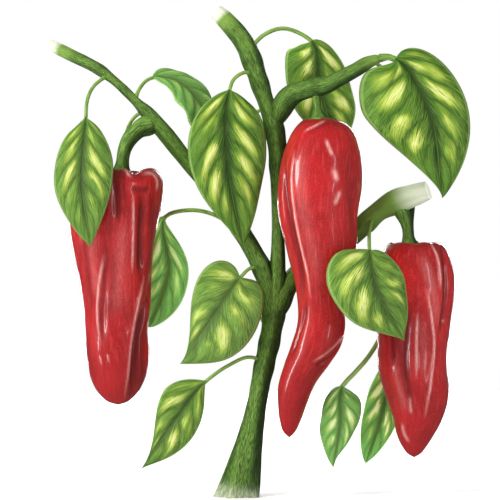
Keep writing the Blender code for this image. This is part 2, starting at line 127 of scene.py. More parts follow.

# Fruit. "depth" is the y of its middle, and "slices" the x, z and radius of its level slices,
# from the hollow under the calyx to the tip. "front" and "back" hold its folds and ridges: how
# deep, how wide, how dark the painted shade in a crease or how pale the painted highlight on a
# ridge is, and the x and z that it passes through. A ridge is less than 0 deep. Lines 0.05 deep
# are all but flat bands of painted shade, and lines -0.05 deep broad painted highlights.
# "dimples" are x, z, depth and width, on the front. "crown" is the angle from the front, the
# rise and the half width in degrees of each bump on the rim.
FRUITS = {
    "left_fruit": {
        "depth": 10.0,
        "slices": [
            (-60, 158.7, 0), (-60, 159.5, 6), (-60.4, 163, 12), (-60.8, 164.2, 18),
            (-61, 159.8, 22.2),
            (-61.4, 151, 23.3), (-62.6, 140.5, 22.4), (-63.6, 128.5, 20.9), (-62.6, 112.5, 18.6),
            (-61.6, 96.5, 16.9), (-61.8, 83.5, 15.8), (-61, 68.5, 15.6), (-61, 58, 13.3),
            (-61, 51.3, 9.8), (-61, 47.2, 5.3), (-61, 45.5, 0),
        ],
        "front": [
            (2.4, 2.7, 1.0, [(-49, 153), (-48.6, 146), (-49, 135), (-49.5, 122), (-49.7, 108)]),
            (0.4, 2.2, 0.75, [(-54, 154.6), (-49.5, 153.4), (-43.5, 154.4)]),
            (4.0, 2.5, 1.0,
             [(-44.5, 109), (-47.3, 98), (-50, 87), (-51.6, 76), (-52.6, 62), (-54, 48)]),
            (1.4, 2.4, 0.8, [(-47.5, 84), (-48, 72), (-48.5, 60), (-50, 52)]),
            (1.1, 2.7, 0.75,
             [(-65.6, 128), (-66, 117), (-67.2, 106), (-68, 95), (-68, 82), (-67, 74)]),
            (1.5, 2.2, 1.0, [(-62.4, 166), (-61.4, 154), (-60.2, 136)]),
            (1.2, 2.6, 1.0, [(-66.5, 162), (-69, 150), (-72.5, 138)]),
            (0.6, 1.3, 0.8, [(-57.6, 166), (-57.2, 155), (-56.6, 145)]),
            (-0.25, 1.6, 1.0, [(-58, 164.4), (-55.6, 162.6), (-54.2, 160)]),
            (-0.4, 1.6, 1.0, [(-48, 163.4), (-44, 162), (-41.6, 159), (-41.2, 153)]),
            (-0.55, 1.0, 1.0, [(-52.5, 150), (-52.8, 132), (-53.4, 112)]),
            (-0.7, 1.1, 1.0,
             [(-47.4, 110), (-50.2, 98), (-52.6, 86), (-54.2, 74), (-55.6, 60), (-57.5, 49)]),
            (-0.5, 1.0, 1.0, [(-67.4, 121), (-70, 106), (-71, 92), (-69.2, 76)]),
            # Broad pale bands with no relief to speak of: painted highlights.
            (-0.05, 5.5, 0.13, [(-73, 134), (-73.5, 122), (-72.5, 110), (-71, 98)]),
            (-0.05, 6.0, 0.15, [(-57.5, 138), (-59, 122), (-60.5, 106), (-62, 90)]),
            (-0.35, 0.8, 1.0, [(-69.4, 70.5), (-68.6, 66)]),
            (-0.35, 0.8, 1.0, [(-65.8, 71.5), (-65.2, 67.5)]),
            (1.4, 3.4, 0.5, [(-76, 150), (-78, 132), (-76, 112), (-74, 88)]),
            # Dark bands with no relief to speak of: painted shade.
            (0.05, 4.8, 0.85, [(-46.5, 98), (-48.6, 82), (-50, 66), (-51.5, 50)]),
            (0.05, 5.4, 0.85, [(-67, 162), (-69.5, 148), (-73, 134)]),
            (0.05, 4.6, 0.75, [(-60.6, 166), (-60.4, 152), (-59.5, 138)]),
            (0.05, 4.0, 0.65, [(-44, 156), (-43.4, 142), (-44, 126), (-46, 110)]),
            (0.05, 3.6, 0.45, [(-77, 84), (-74.5, 68), (-71, 56)]),
            (0.05, 3.2, 1.0, [(-50, 88), (-51.4, 72), (-53, 58), (-55.5, 46)]),
            (0.05, 3.4, 0.6, [(-62.4, 126), (-63, 112), (-64, 98), (-65, 84)]),
            (0.05, 3.6, 0.4, [(-66, 126), (-66, 112), (-66.4, 98)]),
        ],
        "back": [
            (3.0, 3.4, 0.9, [(-66, 166), (-67, 140), (-66, 105), (-63, 64)]),
            (2.6, 3.2, 0.8, [(-50, 160), (-50, 130), (-54, 90)]),
            (2.0, 3.2, 0.6, [(-76, 158), (-78, 130), (-74, 96)]),
        ],
        "dimples": [(-64, 71, 0.5, 3.0), (-66, 69, 0.5, 2.4)],
        "crown": [
            (32, -3.0, 15), (3, -0.9, 7), (14, 0.6, 9), (76, 0.4, 16), (-38, -1.6, 20),
            (125, -1.8, 24), (-165, -2.0, 24), (-105, -1.6, 22),
        ],
    },
    "centre_fruit": {
        "depth": -16.0,
        "slices": [
            (39.8, 187, 0), (39.9, 188, 3.6), (40.4, 188.2, 7), (41.3, 186.2, 11.2),
            (41.7, 181, 15.6),
            (41.5, 175, 18), (41, 167.5, 19.8), (40.3, 156, 20.7), (39.2, 141, 19.7),
            (40.6, 127.5, 18),
            (40.7, 117.5, 15.5), (40.5, 107.5, 12.7), (40.6, 98.5, 11.4), (40.9, 87.5, 11.8),
            (38.4, 76, 12.4), (34, 67.5, 11.2), (29, 57.5, 9.2), (26.5, 47.5, 7.3), (25.4, 38.5, 5),
            (25, 33.2, 2.8), (25, 30.5, 0),
        ],
        "front": [
            (2.3, 2.3, 0.9,
             [(23.4, 174), (22.8, 158), (24, 145), (26.6, 132), (30, 118), (31.8, 106), (32, 95)]),
            (-0.6, 1.1, 1.0,
             [(27.2, 172), (26, 158), (27.4, 142), (30.8, 125), (33.8, 112), (35.4, 100)]),
            (1.8, 1.9, 0.7, [(52, 79.5), (47.5, 73), (42.5, 69), (37, 66)]),
            (-0.6, 1.1, 1.0, [(52, 82), (47, 76), (42, 71.8), (36.5, 68.6)]),
            (0.5, 0.9, 0.5, [(33.5, 181), (38.5, 183.2), (45, 186.4)]),
            (-0.35, 0.8, 1.0, [(32.2, 182), (37.5, 184.4), (43, 187)]),
            (1.2, 3.4, 0.4, [(55.5, 172), (54.5, 156), (55.5, 142), (56, 128)]),
            (1.0, 1.4, 0.9, [(33.4, 99), (31.8, 88), (28.8, 78), (26.2, 70)]),
            (0.4, 3.4, 0.6, [(44, 72), (37, 60), (32.5, 50), (29.5, 40)]),
            (0.3, 2.0, 0.5, [(38, 66), (33, 58), (28, 52)]),
            # A broad pale band with no relief to speak of: a painted highlight.
            (-0.05, 6.0, 0.1, [(32, 172), (30.4, 158), (32, 142), (36, 124), (38.6, 104)]),
            # Dark bands with no relief to speak of: painted shade.
            (0.05, 4.4, 0.5, [(56, 170), (56.6, 152), (56, 134)]),
            (0.05, 5.0, 0.5, [(54, 124), (49.5, 112), (47.5, 98)]),
            (0.05, 4.0, 0.45, [(49, 82), (44, 72), (38.5, 62), (34, 50)]),
            (-0.3, 1.4, 1.0, [(42.8, 177.5), (45.8, 169.5)]),
            (-0.35, 2.2, 1.0, [(46.4, 163), (48.2, 157)]),
            (-0.3, 1.8, 1.0, [(50, 152.4), (46.8, 145.6)]),
        ],
        "back": [
            (2.2, 3.4, 0.7, [(48, 176), (51, 150), (50, 122), (46, 96)]),
            (1.8, 3.2, 0.7, [(32, 176), (29, 150), (34, 118), (38, 92)]),
        ],
        "dimples": [
            (52, 150, 0.4, 5.0), (50, 132, 0.4, 5.0),
        ],
        "crown": [(10, 0.5, 40), (130, 0.5, 40), (-110, 0.4, 40)],
    },
    "right_fruit": {
        "depth": 0.0,
        "slices": [
            (85.5, 121.5, 0), (85.6, 122.5, 5), (86.3, 126, 9), (88.3, 126.3, 12.5),
            (88.3, 122.8, 15.9),
            (88.2, 117.5, 18.2), (88.3, 108.5, 19.5), (88.3, 98.5, 19.4), (87.4, 86, 18.5),
            (86.9, 73.5, 17.4), (87.3, 62.5, 17.2), (88.8, 54.5, 16.5), (89.5, 46, 14.6),
            (89.4, 37.7, 12), (88.5, 31.7, 9.6), (87.9, 25.7, 6.4), (87.7, 21.5, 3.2),
            (87.7, 19.7, 0),
        ],
        "front": [
            (2.2, 2.0, 0.8, [(100, 128), (102, 116), (102.3, 102), (101, 90), (98.5, 80)]),
            (-0.6, 1.2, 1.0, [(94, 128), (98, 121), (99.6, 112), (99.8, 104)]),
            (1.7, 2.5, 1.0, [(84.6, 96), (83.2, 82), (82.4, 68), (83.8, 56), (87, 43)]),
            (-0.4, 1.1, 1.0, [(93, 104), (95.2, 92), (96.8, 76), (95.6, 61), (92.2, 40)]),
            (-0.4, 1.0, 1.0, [(88.4, 92), (88, 76), (88, 60)]),
            (0.7, 2.0, 0.8, [(76, 86), (76, 76), (77, 66)]),
            (-0.3, 1.6, 1.0, [(81.2, 37), (82.6, 31.5), (85, 27.5)]),
            # Dark bands with no relief to speak of: painted shade.
            (0.05, 3.8, 0.6, [(78.5, 90), (79.5, 76), (82, 62), (85.5, 48)]),
            (0.05, 3.0, 0.45, [(101, 126), (103.4, 112), (103, 96)]),
            # Broad pale bands with no relief to speak of: painted highlights.
            (-0.05, 4.6, 0.18, [(90, 122), (94.5, 110), (97, 98), (97.6, 84)]),
            (-0.05, 3.4, 0.1, [(91, 90), (91.8, 76), (91.4, 60)]),
            (-0.05, 3.6, 0.18, [(76, 70), (79.4, 56), (83, 42)]),
            (-0.5, 1.2, 1.0, [(84.6, 51), (85.6, 42)]),
        ],
        "back": [
            (2.8, 3.2, 0.9, [(94, 126), (96, 104), (94, 74), (90, 44)]),
            (2.4, 3.2, 0.8, [(80, 124), (77, 98), (80, 62)]),
        ],
        "dimples": [(80.5, 62, -0.4, 1.6), (104, 60, 0.7, 5.0)],
        "crown": [
            (-28, 0.7, 22), (22, 0.9, 16), (58, 0.9, 18),
            (120, 0.9, 26), (-150, 1.0, 26), (-90, 0.8, 24),
        ],
    },
}

# What a leaf has unless LEAVES says otherwise: the pairs of side veins, how strong the painted
# highlights between them are, how far it leans to pale green, a painted light on leaves in shade,
# and to cool green, a painted tint of the shade it lies in, how much lighter its upper side is, a
# painted light on leaves in shade, its stalk's radius, and how pale the stalk is, partly painted
# light, or below 0 how dark, a painted shade.
LEAF_PLAIN = {
    "veins": 5.0, "glow": 0.8, "fresh": 0.0, "cool": 0.0, "lift": 0.0, "radius": 1.15,
    "stalk": 0.0,
}

# Leaves. "face" is where the upper side looks. "petiole" runs from inside the limb to the blade,
# "blade" along the midrib to the tip. "left" and "right" are the halves of the blade, tip down,
# seen face on: the half width, where along the blade it is reached, how slowly it is reached,
# and how far its lobe is pulled back.
LEAVES = {
    "leaf_far_left": {
        "face": (-0.1, -1.0, 0.15),
        "veins": 5.5, "glow": 1.0, "fresh": 0.08,
        "left": (14.2, 0.46, 0.85, 0.0), "right": (15.7, 0.43, 0.85, 0.0),
        "petiole": [(-67, 19, 212), (-72.8, 12.5, 206.8), (-76, 2, 199)],
        "blade": [(-76.3, -8, 189.3), (-77.8, -17, 157), (-73.4, -19, 125)],
    },
    "leaf_left_arching": {
        "face": (0.1, -0.62, 0.75),
        "glow": 0.4, "fresh": 0.2, "cool": 0.35, "lift": 0.2,
        "left": (15.0, 0.59, 0.7, 0.0), "right": (14.0, 0.55, 0.6, 0.0),
        "petiole": [(-52.6, 12.5, 199.2), (-50, 14, 205.5), (-46.6, 16, 209.4)],
        "blade": [(-43.5, 17, 210.8), (-30.5, 19, 208.5), (-20.5, 20, 198.5), (-12.5, 20, 178)],
    },
    "leaf_middle": {
        "face": (0.0, -1.0, 0.1),
        "veins": 6.0, "glow": 1.0,
        "left": (19.3, 0.39, 0.81, 0.0), "right": (20.0, 0.34, 0.48, 0.0),
        "petiole": [(7.8, 2, 212.3), (1.5, -4, 211.8), (-2.8, -7, 208.3)],
        "blade": [(-4.7, -9, 203.1), (-5.5, -15, 166), (2, -10, 125)],
    },
    "leaf_behind_left_fruit": {
        "face": (0.35, -1.0, 0.0),
        "glow": 0.95, "fresh": 0.15, "cool": 0.6, "lift": 1.3,
        "left": (12.0, 0.5, 0.7, 0.0), "right": (11.0, 0.60, 1.1, 0.0), "radius": 1.3,
        "petiole": [(-3.5, 4, 135.5), (-9, 7, 139.5), (-17.2, 12, 142.8), (-27, 19, 143.6)],
        "blade": [(-37.5, 28, 140.5), (-36.3, 33, 112.3), (-46, 29, 84)],
    },
    "leaf_fork": {
        "face": (0.05, -1.0, 0.2),
        "glow": 1.0, "fresh": 0.18,
        "left": (17.0, 0.31, 1.1, 1.25), "right": (21.7, 0.52, 1.16, 1.9),
        "petiole": [(11.5, 1.5, 115.5), (5, -4, 114)],
        "blade": [(0.7, -8, 109.8), (-12.4, -14, 91), (-29.3, -10, 66.8)],
    },
    "leaf_low_left": {
        "face": (0.15, -1.0, 0.25),
        "veins": 4.5, "glow": 1.0, "fresh": 0.1,
        "left": (13.1, 0.31, 1.15, 0.1), "right": (12.2, 0.51, 1.25, 0.45),
        "petiole": [(12.5, 0, 68), (4.5, -4, 70), (-4.5, -6, 66.3)],
        "blade": [(-16.3, -9, 58.2), (-30.3, -13, 41), (-48.7, -10, 14.6)],
    },
    "leaf_top": {
        "face": (0.0, -1.0, 0.35),
        "glow": 1.4, "fresh": 0.05, "lift": 0.35,
        "left": (18.1, 0.33, 0.39, 0.5), "right": (18.0, 0.51, 0.86, 0.2), "radius": 1.3,
        "petiole": [(4.4, 3, 223), (12.5, 4, 231.5), (22, 7, 235), (30.7, 9, 232.6)],
        "blade": [(36.2, 10, 229), (40.7, 15, 206.5), (49.8, 12, 173.8)],
    },
    "leaf_upper_right": {
        "face": (-0.25, -1.0, 0.2), "radius": 2.0, "stalk": -0.5,
        "veins": 5.5, "glow": 1.0,
        "left": (31.2, 0.41, 1.31, 1.4), "right": (18.5, 0.42, 0.59, 0.35),
        "petiole": [(69.5, -23.8, 218.2), (74, -25, 218.6)],
        "blade": [(77.3, -26, 217.3), (92.2, -32, 195.5), (100.1, -28, 149)],
    },
    "leaf_between_fruits": {
        "face": (0.1, -1.0, 0.25),
        "glow": 1.0, "fresh": 0.1,
        "left": (23.2, 0.32, 0.64, 0.35), "right": (15.0, 0.48, 1.2, 1.35),
        "petiole": [(67.3, 5, 140.5), (65.2, -7, 133.5), (64.4, -22, 128)],
        "blade": [(64.2, -34, 123.2), (68, -42, 102.6), (81.2, -36, 78.8)],
    },
    "leaf_low_right": {
        "face": (0.15, -1.0, 0.1),
        "glow": 1.0, "fresh": 0.2, "cool": 0.5, "lift": 0.15,
        "radius": 1.45, "stalk": 0.62,
        "left": (10.2, 0.46, 0.8, 0.2), "right": (11.2, 0.27, 0.6, 0.3),
        "petiole": [(82.2, 24.6, 101), (77, 21.5, 91), (70.5, 12, 78), (64, 5, 68.5), (57, 0, 61)],
        "blade": [(51.5, -3, 55.2), (50.6, -7, 37.5), (47.2, -5, 14.9)],
    },
    "leaf_behind_right_fruit": {
        "face": (-0.1, -1.0, 0.0),
        "veins": 4.5, "glow": 1.6, "fresh": 0.1, "cool": 0.5, "lift": 1.1,
        "left": (9.8, 0.50, 0.8, 0.0), "right": (8.4, 0.50, 0.9, 0.0),
        "petiole": [(85.5, 24.7, 108), (83, 30.5, 97), (80.5, 30, 84)],
        "blade": [(77.8, 26.5, 70), (72.6, 22, 40), (64, 15, 15.7)],
    },
    "leaf_back_centre": {
        "face": (-0.2, 1.0, 0.2),
        "left": (14.0, 0.38, 0.6, 0.3), "right": (14.0, 0.38, 0.6, 0.3),
        "petiole": [(19.1, 1, 170), (21, 12, 175), (26, 27, 176.5)],
        "blade": [(31.5, 37, 172.5), (38, 47, 151), (42.5, 44, 124)],
    },
    "leaf_back_left": {
        "face": (0.1, 1.0, 0.1),
        "left": (15.5, 0.38, 0.6, 0.3), "right": (15.0, 0.38, 0.6, 0.3),
        "petiole": [(-47.5, 11, 194), (-53, 21, 191), (-58, 35, 183), (-60.5, 45, 172)],
        "blade": [(-61, 50, 164), (-63.8, 59, 136), (-62, 54, 104)],
    },
    "leaf_back_upper_right": {
        "face": (0.2, 1.0, 0.2),
        "left": (13.5, 0.38, 0.7, 0.2), "right": (13.0, 0.38, 0.7, 0.2),
        "petiole": [(61.5, -22, 215), (65, -12, 217), (71, 1, 215.5)],
        "blade": [(77.5, 10, 210), (87, 20, 190), (93.5, 18, 165)],
    },
    "leaf_back_middle": {
        "face": (-0.3, 1.0, 0.2),
        "left": (13.0, 0.38, 0.7, 0.2), "right": (13.0, 0.38, 0.7, 0.2),
        "petiole": [(15.5, 1, 192.5), (12.5, 12, 194.5), (7.5, 25, 192.5)],
        "blade": [(2.5, 34, 187), (-4, 44, 168), (-6.5, 42, 142)],
    },
    "leaf_back_fork": {
        "face": (-0.4, 1.0, 0.3),
        "left": (10.5, 0.38, 0.7, 0.2), "right": (10.5, 0.38, 0.7, 0.2),
        "petiole": [(15.8, 0.5, 81), (12.5, 11, 87), (8.5, 22, 91)],
        "blade": [(3.5, 30, 92), (-6.5, 38, 84), (-18, 36, 68)],
    },
    "leaf_back_right": {
        "face": (0.35, 1.0, 0.2),
        "left": (11.0, 0.40, 0.6, 0.2), "right": (11.0, 0.40, 0.6, 0.2),
        "petiole": [(87, 19.5, 125), (90, 30, 127.5), (92.5, 40, 125)],
        "blade": [(94, 46, 120), (96.5, 54, 100), (95, 51, 73)],
    },
    "leaf_back_low": {
        "face": (0.1, 1.0, 0.2),
        "left": (9.6, 0.38, 0.6, 0.2), "right": (9.6, 0.38, 0.6, 0.2),
        "petiole": [(42, 9, 120.3), (43.5, 20, 121.5), (43.5, 33, 118)],
        "blade": [(42.5, 42, 111), (41, 50, 91), (36.5, 46, 66)],
    },
}

LEAF_SIDES = 56
PETIOLE_RINGS = 14
BLADE_RINGS = 72
LIMB_SIDES = 48
STALK_SIDES = 40
STALK_RINGS_PER_MM = 1.2
FRUIT_SIDES = 168
FRUIT_RINGS = 200
CALYX_RINGS = 7
CALYX_TEETH = 5
LEAF_SEEDS = 17

# How many millimetres of a stem or stalk go to one unit of its UV map.
UV_MM = 100.0

# Limbs, in mm: the flare's height, the corky foot's, how far a knot swells and darkens the limb,
# how far back from its end a cut is rounded and an uncut end is pale, and how pale that is.
FLARE_HEIGHT = 22.0
CORK_HEIGHT = 13.0
KNOT_SWELLS = 4.5
KNOT_DARKENS = 3.2
CUT_ROUNDED = 6.0
UNCUT_FADE = 16.0
UNCUT_PALE = 0.45
RIDGES, FINE_RIDGES, FLUTES = 5, 9, 23

# Folds: the shares of a line's length over which it sets in and runs out, and how wide the
# painted shade in creases and the painted highlight on ridges are against their press.
FOLD_SETS_IN = (-0.08, 0.22)
FOLD_RUNS_OUT = (0.76, 1.06)
CREASE_TONE = 0.8
RIDGE_TONE = 0.55

# The share of a blade over which the stalk flattens into it, and the share of a blade where its
# relief ends towards the tip.
BLADE_FLATTENS = 0.06
BLADE_CLOSES = 0.9

# The rings that close a limb's end: the share of its radius, and how far out they lie.
END_RINGS = ((0.97, 0.25), (0.9, 0.4), (0.62, 0.35), (0.4, 0.2), (0.16, 0.1))

# Side veins: how far and how steeply they bend back, where the first pair starts, and how far
# the left ones are out of step. A blade's relief and its colours both follow them.
VEIN_BEND = 0.30
VEIN_CURVE = 1.25
VEIN_START = 0.04
VEIN_STAGGER = 0.4

# A blade's points crowd towards its midrib and its base by these powers.
ACROSS_CROWD = 1.25
ALONG_CROWD = 1.15


def spline(points, each=14):
    """A smooth line through the points, which may carry more numbers than three."""
    points = [Vector(p) for p in points]
    spans = [(b - a).length for a, b in zip(points, points[1:])]
    slopes = [(b - a) / d for a, b, d in zip(points, points[1:], spans)]
    middle = [
        (s0 * d1 + s1 * d0) / (d0 + d1)
        for s0, s1, d0, d1 in zip(slopes, slopes[1:], spans, spans[1:])
    ]
    slopes = [slopes[0], *middle, slopes[-1]]
    line = [points[0]]
    for i, d in enumerate(spans):
        for k in range(1, each + 1):
            t = k / each
            line.append(
                points[i] * (2 * t**3 - 3 * t**2 + 1)
                + slopes[i] * d * (t**3 - 2 * t**2 + t)
                + points[i + 1] * (3 * t**2 - 2 * t**3)
                + slopes[i + 1] * d * (t**3 - t**2)
            )
    return line


def lengths_along(line):
    """How far along the line each of its points is."""
    total = [0.0]
    for a, b in zip(line, line[1:]):
        total.append(total[-1] + (b - a).length)
    return total


def lookup(line, lengths, distance):
    """The point of the line at a distance along it."""
    for i in range(1, len(line)):
        if distance <= lengths[i]:
            step = lengths[i] - lengths[i - 1]
            return line[i - 1].lerp(line[i], (distance - lengths[i - 1]) / step if step else 0.0)
    return line[-1].copy()


class Route:
    """A smooth centre line with a frame that follows it without twisting."""

    def __init__(self, points, face=FRONT, anchor=0.0):
        self.line = spline([p[:3] for p in points])
        self.lengths = lengths_along(self.line)
        self.length = self.lengths[-1]
        start = min(range(len(self.line)), key=lambda i: abs(self.lengths[i] - anchor))
        tangents = [self.tangent(i) for i in range(len(self.line))]
        sides = [None] * len(self.line)
        sides[start] = Vector(face).cross(tangents[start]).normalized()
        for i in range(start + 1, len(self.line)):
            sides[i] = self.carried(sides[i - 1], tangents[i])
        for i in range(start - 1, -1, -1):
            sides[i] = self.carried(sides[i + 1], tangents[i])
        self.tangents, self.sides = tangents, sides
        self.frame = lru_cache(maxsize=None)(self.find_frame)

    def tangent(self, i):
        low, high = max(0, i - 1), min(len(self.line) - 1, i + 1)
        return (self.line[high] - self.line[low]).normalized()

    @staticmethod
    def carried(side, tangent):
        return (side - tangent * side.dot(tangent)).normalized()

    def find_frame(self, distance):
        """(point, tangent, side, up) at a distance along the route."""
        tangent = lookup(self.tangents, self.lengths, distance).normalized()
        side = self.carried(lookup(self.sides, self.lengths, distance), tangent)
        return lookup(self.line, self.lengths, distance), tangent, side, tangent.cross(side)

    def around(self, distance, u):
        """(point, tangent, way out) at a distance along the route and u of a turn round it."""
        point, tangent, side, up = self.frame(distance)
        angle = 2 * math.pi * u
        return point, tangent, side * math.cos(angle) + up * math.sin(angle)


def smooth(value, low, high):
    """0 below low, 1 above high, and a soft step between them."""
    t = min(1.0, max(0.0, (value - low) / (high - low)))
    return t * t * (3 - 2 * t)


def bell(value, width):
    """1 at 0, falling away on both sides."""
    return math.exp(-((value / width) ** 2))


def turn_between(a, b):
    """The smallest angle between two directions, in degrees."""
    return (a - b + 180.0) % 360.0 - 180.0


def ripple(place, size, seed=0.0):
    """Gentle unevenness, from -1 to 1, over lengths of about size."""
    return noise.noise(Vector(place) / size + Vector((seed, seed * 0.37, -seed)))


def linked(made):
    """Adds a new data block's object to the scene."""
    bpy.context.scene.collection.objects.link(made)
    return made


def skin(name, around, along, place, marks, materials, finish=None, flat_end=None):
    """A closed piece: a grid wrapped by place(u, v), with its seam welded and its ends filled.

    marks(u, v) gives the named shares that a material reads. The grid's own UV map stays on it,
    or is what finish(corner, middle) makes of it, which also picks the material of each face.
    """
    mesh = bpy.data.meshes.new(name)
    bm = bmesh.new()
    uv_layer = bm.loops.layers.uv.new("surface")
    for label in marks(0.0, 0.0):
        bm.verts.layers.float.new(label)
    bmesh.ops.create_grid(bm, x_segments=around, y_segments=along, size=0.5, calc_uvs=True)
    for vert in bm.verts:
        u, v = vert.co.x + 0.5, vert.co.y + 0.5
        for label, share in marks(u, v).items():
            vert[bm.verts.layers.float[label]] = share
        vert.co = place(u, v) * MM
    if finish:
        for face in bm.faces:
            corners = [loop[uv_layer].uv.copy() for loop in face.loops]
            middle = sum(corners, Vector((0.0, 0.0))) / len(corners)
            for loop, corner in zip(face.loops, corners):
                loop[uv_layer].uv, face.material_index = finish(corner, middle)
    bmesh.ops.remove_doubles(bm, verts=bm.verts, dist=WELD)
    if flat_end:
        cut = bmesh.ops.bisect_plane(
            bm, geom=[*bm.verts, *bm.edges, *bm.faces], dist=WELD / 10,
            plane_co=(0, 0, 0), plane_no=flat_end, clear_outer=True,
        )
        rim = [e for e in cut["geom_cut"] if isinstance(e, bmesh.types.BMEdge)]
        bmesh.ops.edgenet_fill(bm, edges=rim)
    bmesh.ops.holes_fill(bm, edges=bm.edges, sides=0)
    bmesh.ops.recalc_face_normals(bm, faces=bm.faces)
    bm.to_mesh(mesh)
    bm.free()
    mesh.shade_smooth()
    for material in materials:
        mesh.materials.append(material)
    return linked(bpy.data.objects.new(name, mesh))


def dress(piece, node):
    """The piece stands for a node of the frame: it hangs from the root body, and the node's part is
    hidden.
    """
    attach(piece, "root")
    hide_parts(node)


def limb_shape(points):
    """A limb's route and the radius at any distance along it."""
    shape = spline(points)
    reach = lengths_along([p.to_3d() for p in shape])
    return Route(points), lambda distance: lookup(shape, reach, distance)[3]


def painted_bark_light(out):
    """The painted shade and painted light on bark that faces out: shade on its right and under it,
    weaker behind, and light on its front, a little up and to the left.
    """
    shade = smooth(out.x * 0.85 - out.z * 0.6 + 0.15 * out.y, -0.2, 0.5)
    lit = smooth(out.z * 0.45 - out.x * 0.2 - out.y * 0.95, 0.65, 1.0)
    return shade * (1.0 - 0.7 * smooth(out.y, 0.0, 0.7)), lit


def make_limb(name, ridge_depth, knot_swell):
    """A ridged stem or bough, swollen where something grows from it, with a cut or uncut end."""
    facts = LIMBS[name]
    route, radius_at = limb_shape(facts["route"])
    end, fade, knots = route.length, facts["fade"], facts["knots"]
    body_rings = round(end)
    rings = body_rings + len(END_RINGS)
    foot = name == "main_stem"
    seed = len(name) * 3.1

    def place(u, v):
        ring = round(v * rings)
        share, lift = (1.0, 0.0) if ring <= body_rings else END_RINGS[ring - body_rings - 1]
        distance = min(ring, body_rings) / body_rings * end
        point, tangent, out = route.around(distance, u)
        angle = 2 * math.pi * u
        twist = 0.012 * distance
        ridges = math.cos(RIDGES * (angle + twist))
        ridges += 0.35 * math.cos(FINE_RIDGES * (angle - 0.6 * twist) + seed)
        flutes = 0.22 * math.cos(FLUTES * angle + 3 * ripple((distance, 0, 0), 30.0, seed))
        depth = ridge_depth * (1.0 + (2.2 * bell(distance, FLARE_HEIGHT) if foot else 0.0))
        swell = sum(knot_swell * bell(distance - knot, KNOT_SWELLS) for knot in knots)
        if not foot:
            swell += 0.30 * bell(distance - 5.0, 7.0)
        if not fade:
            swell -= 0.35 * smooth(distance, end - 3.0, end)
        rough = 0.035 * ripple((3 * math.cos(angle), 3 * math.sin(angle), distance / 4), 2.0, seed)
        radius = radius_at(distance) * (1.0 + depth * (ridges + flutes) + swell + rough) * share
        if fade:
            radius *= 1.0 - 0.09 * smooth(distance, end - CUT_ROUNDED, end)
        return point + out * radius + tangent * lift

    def finish(corner, middle):
        on_cut = fade and middle.y * rings > body_rings
        return (corner.x, corner.y * rings / UV_MM), 1 if on_cut else 0

    def marks(u, v):
        distance = v * rings
        pale = 1.0 if fade else UNCUT_PALE
        pale *= smooth(distance, end - (fade or UNCUT_FADE), end - 2.0)
        # Painted shade on the bark's right and under it, and painted light on its front.
        shade, lit = painted_bark_light(route.around(min(distance, body_rings) / body_rings * end, u)[2])
        return {
            "pale": pale, "corky": 1.0 - smooth(distance, 0.0, CORK_HEIGHT) if foot else 0.0,
            "knot": max(bell(distance - knot, KNOT_DARKENS) for knot in knots),
            "shade": shade * (1.0 + (facts["shaded"] - 1.0) * smooth(distance, 8.0, 30.0)),
            "lit": lit * (1.0 - pale),
        }

    materials = [bark("ridged green bark"), cut_wood()]
    under = (0, 0, -1) if foot else None
    made = skin(name + "_ridged", LIMB_SIDES, rings, place, marks, materials, finish, under)
    dress(made, name)


def fruit_outline(name):
    """The line of a fruit's slices, and how long it is to each of them."""
    rim = spline(FRUITS[name]["slices"])
    return rim, lengths_along(rim)


def skin_place(name, x, z, face="front", deep=0.0):
    """The angle from the front at which a fruit's skin, pressed in deep, passes through x and z."""
    rim, _ = fruit_outline(name)
    highest = max(range(len(rim)), key=lambda i: rim[i].y)
    belt = rim[highest:]
    heights = [belt[0].y - level.y for level in belt]
    middle, _, radius = lookup(belt, heights, max(0.0, belt[0].y - z))
    reach = max(radius - max(deep, 0.0) * 0.5, 1.0)
    degrees = math.degrees(math.asin(max(-0.98, min(0.98, (x - middle) / reach))))
    return degrees if face == "front" else 180.0 - degrees


def fold_lines(name):
    """The folds and ridges of a fruit: depth, width, tone and smooth line, with its share."""
    lines = []
    for face in ("front", "back"):
        for deep, wide, tone, points in FRUITS[name][face]:
            line = spline([(x, 0.0, z) for x, z in points], each=4)
            reach = lengths_along(line)
            lines.append((deep, wide, tone, [
                (skin_place(name, p.x, p.z, face, deep), p.z, far / reach[-1])
                for p, far in zip(line, reach)
            ]))
    return lines


def fold_press(lines, degrees, z, radius):
    """How far the folds press in at a place on a fruit, and how much painted shade its creases and
    painted highlight its ridges give it.
    """
    press = crease_shade = ridge = 0.0
    for deep, wide, tone, line in lines:
        nearest, along = 4.0 * wide, 0.0
        for (angle, height, share), (to_angle, to_height, to_share) in zip(line, line[1:]):
            if min(height, to_height) - z > nearest or z - max(height, to_height) > nearest:
                continue
            x0 = math.radians(turn_between(angle, degrees)) * radius
            dx = math.radians(turn_between(to_angle, angle)) * radius
            z0, dz = height - z, to_height - height
            step = min(1.0, max(0.0, -(x0 * dx + z0 * dz) / (dx * dx + dz * dz)))
            away = math.hypot(x0 + dx * step, z0 + dz * step)
            if away < nearest:
                nearest, along = away, share + (to_share - share) * step
        taper = smooth(along, *FOLD_SETS_IN) * (1.0 - smooth(along, *FOLD_RUNS_OUT))
        press += deep * taper * bell(nearest, wide)
        if deep > 0.0:
            crease_shade = max(crease_shade, tone * taper * bell(nearest, wide * CREASE_TONE))
        else:
            ridge = max(ridge, tone * taper * bell(nearest, wide * RIDGE_TONE))
    return press, crease_shade, ridge


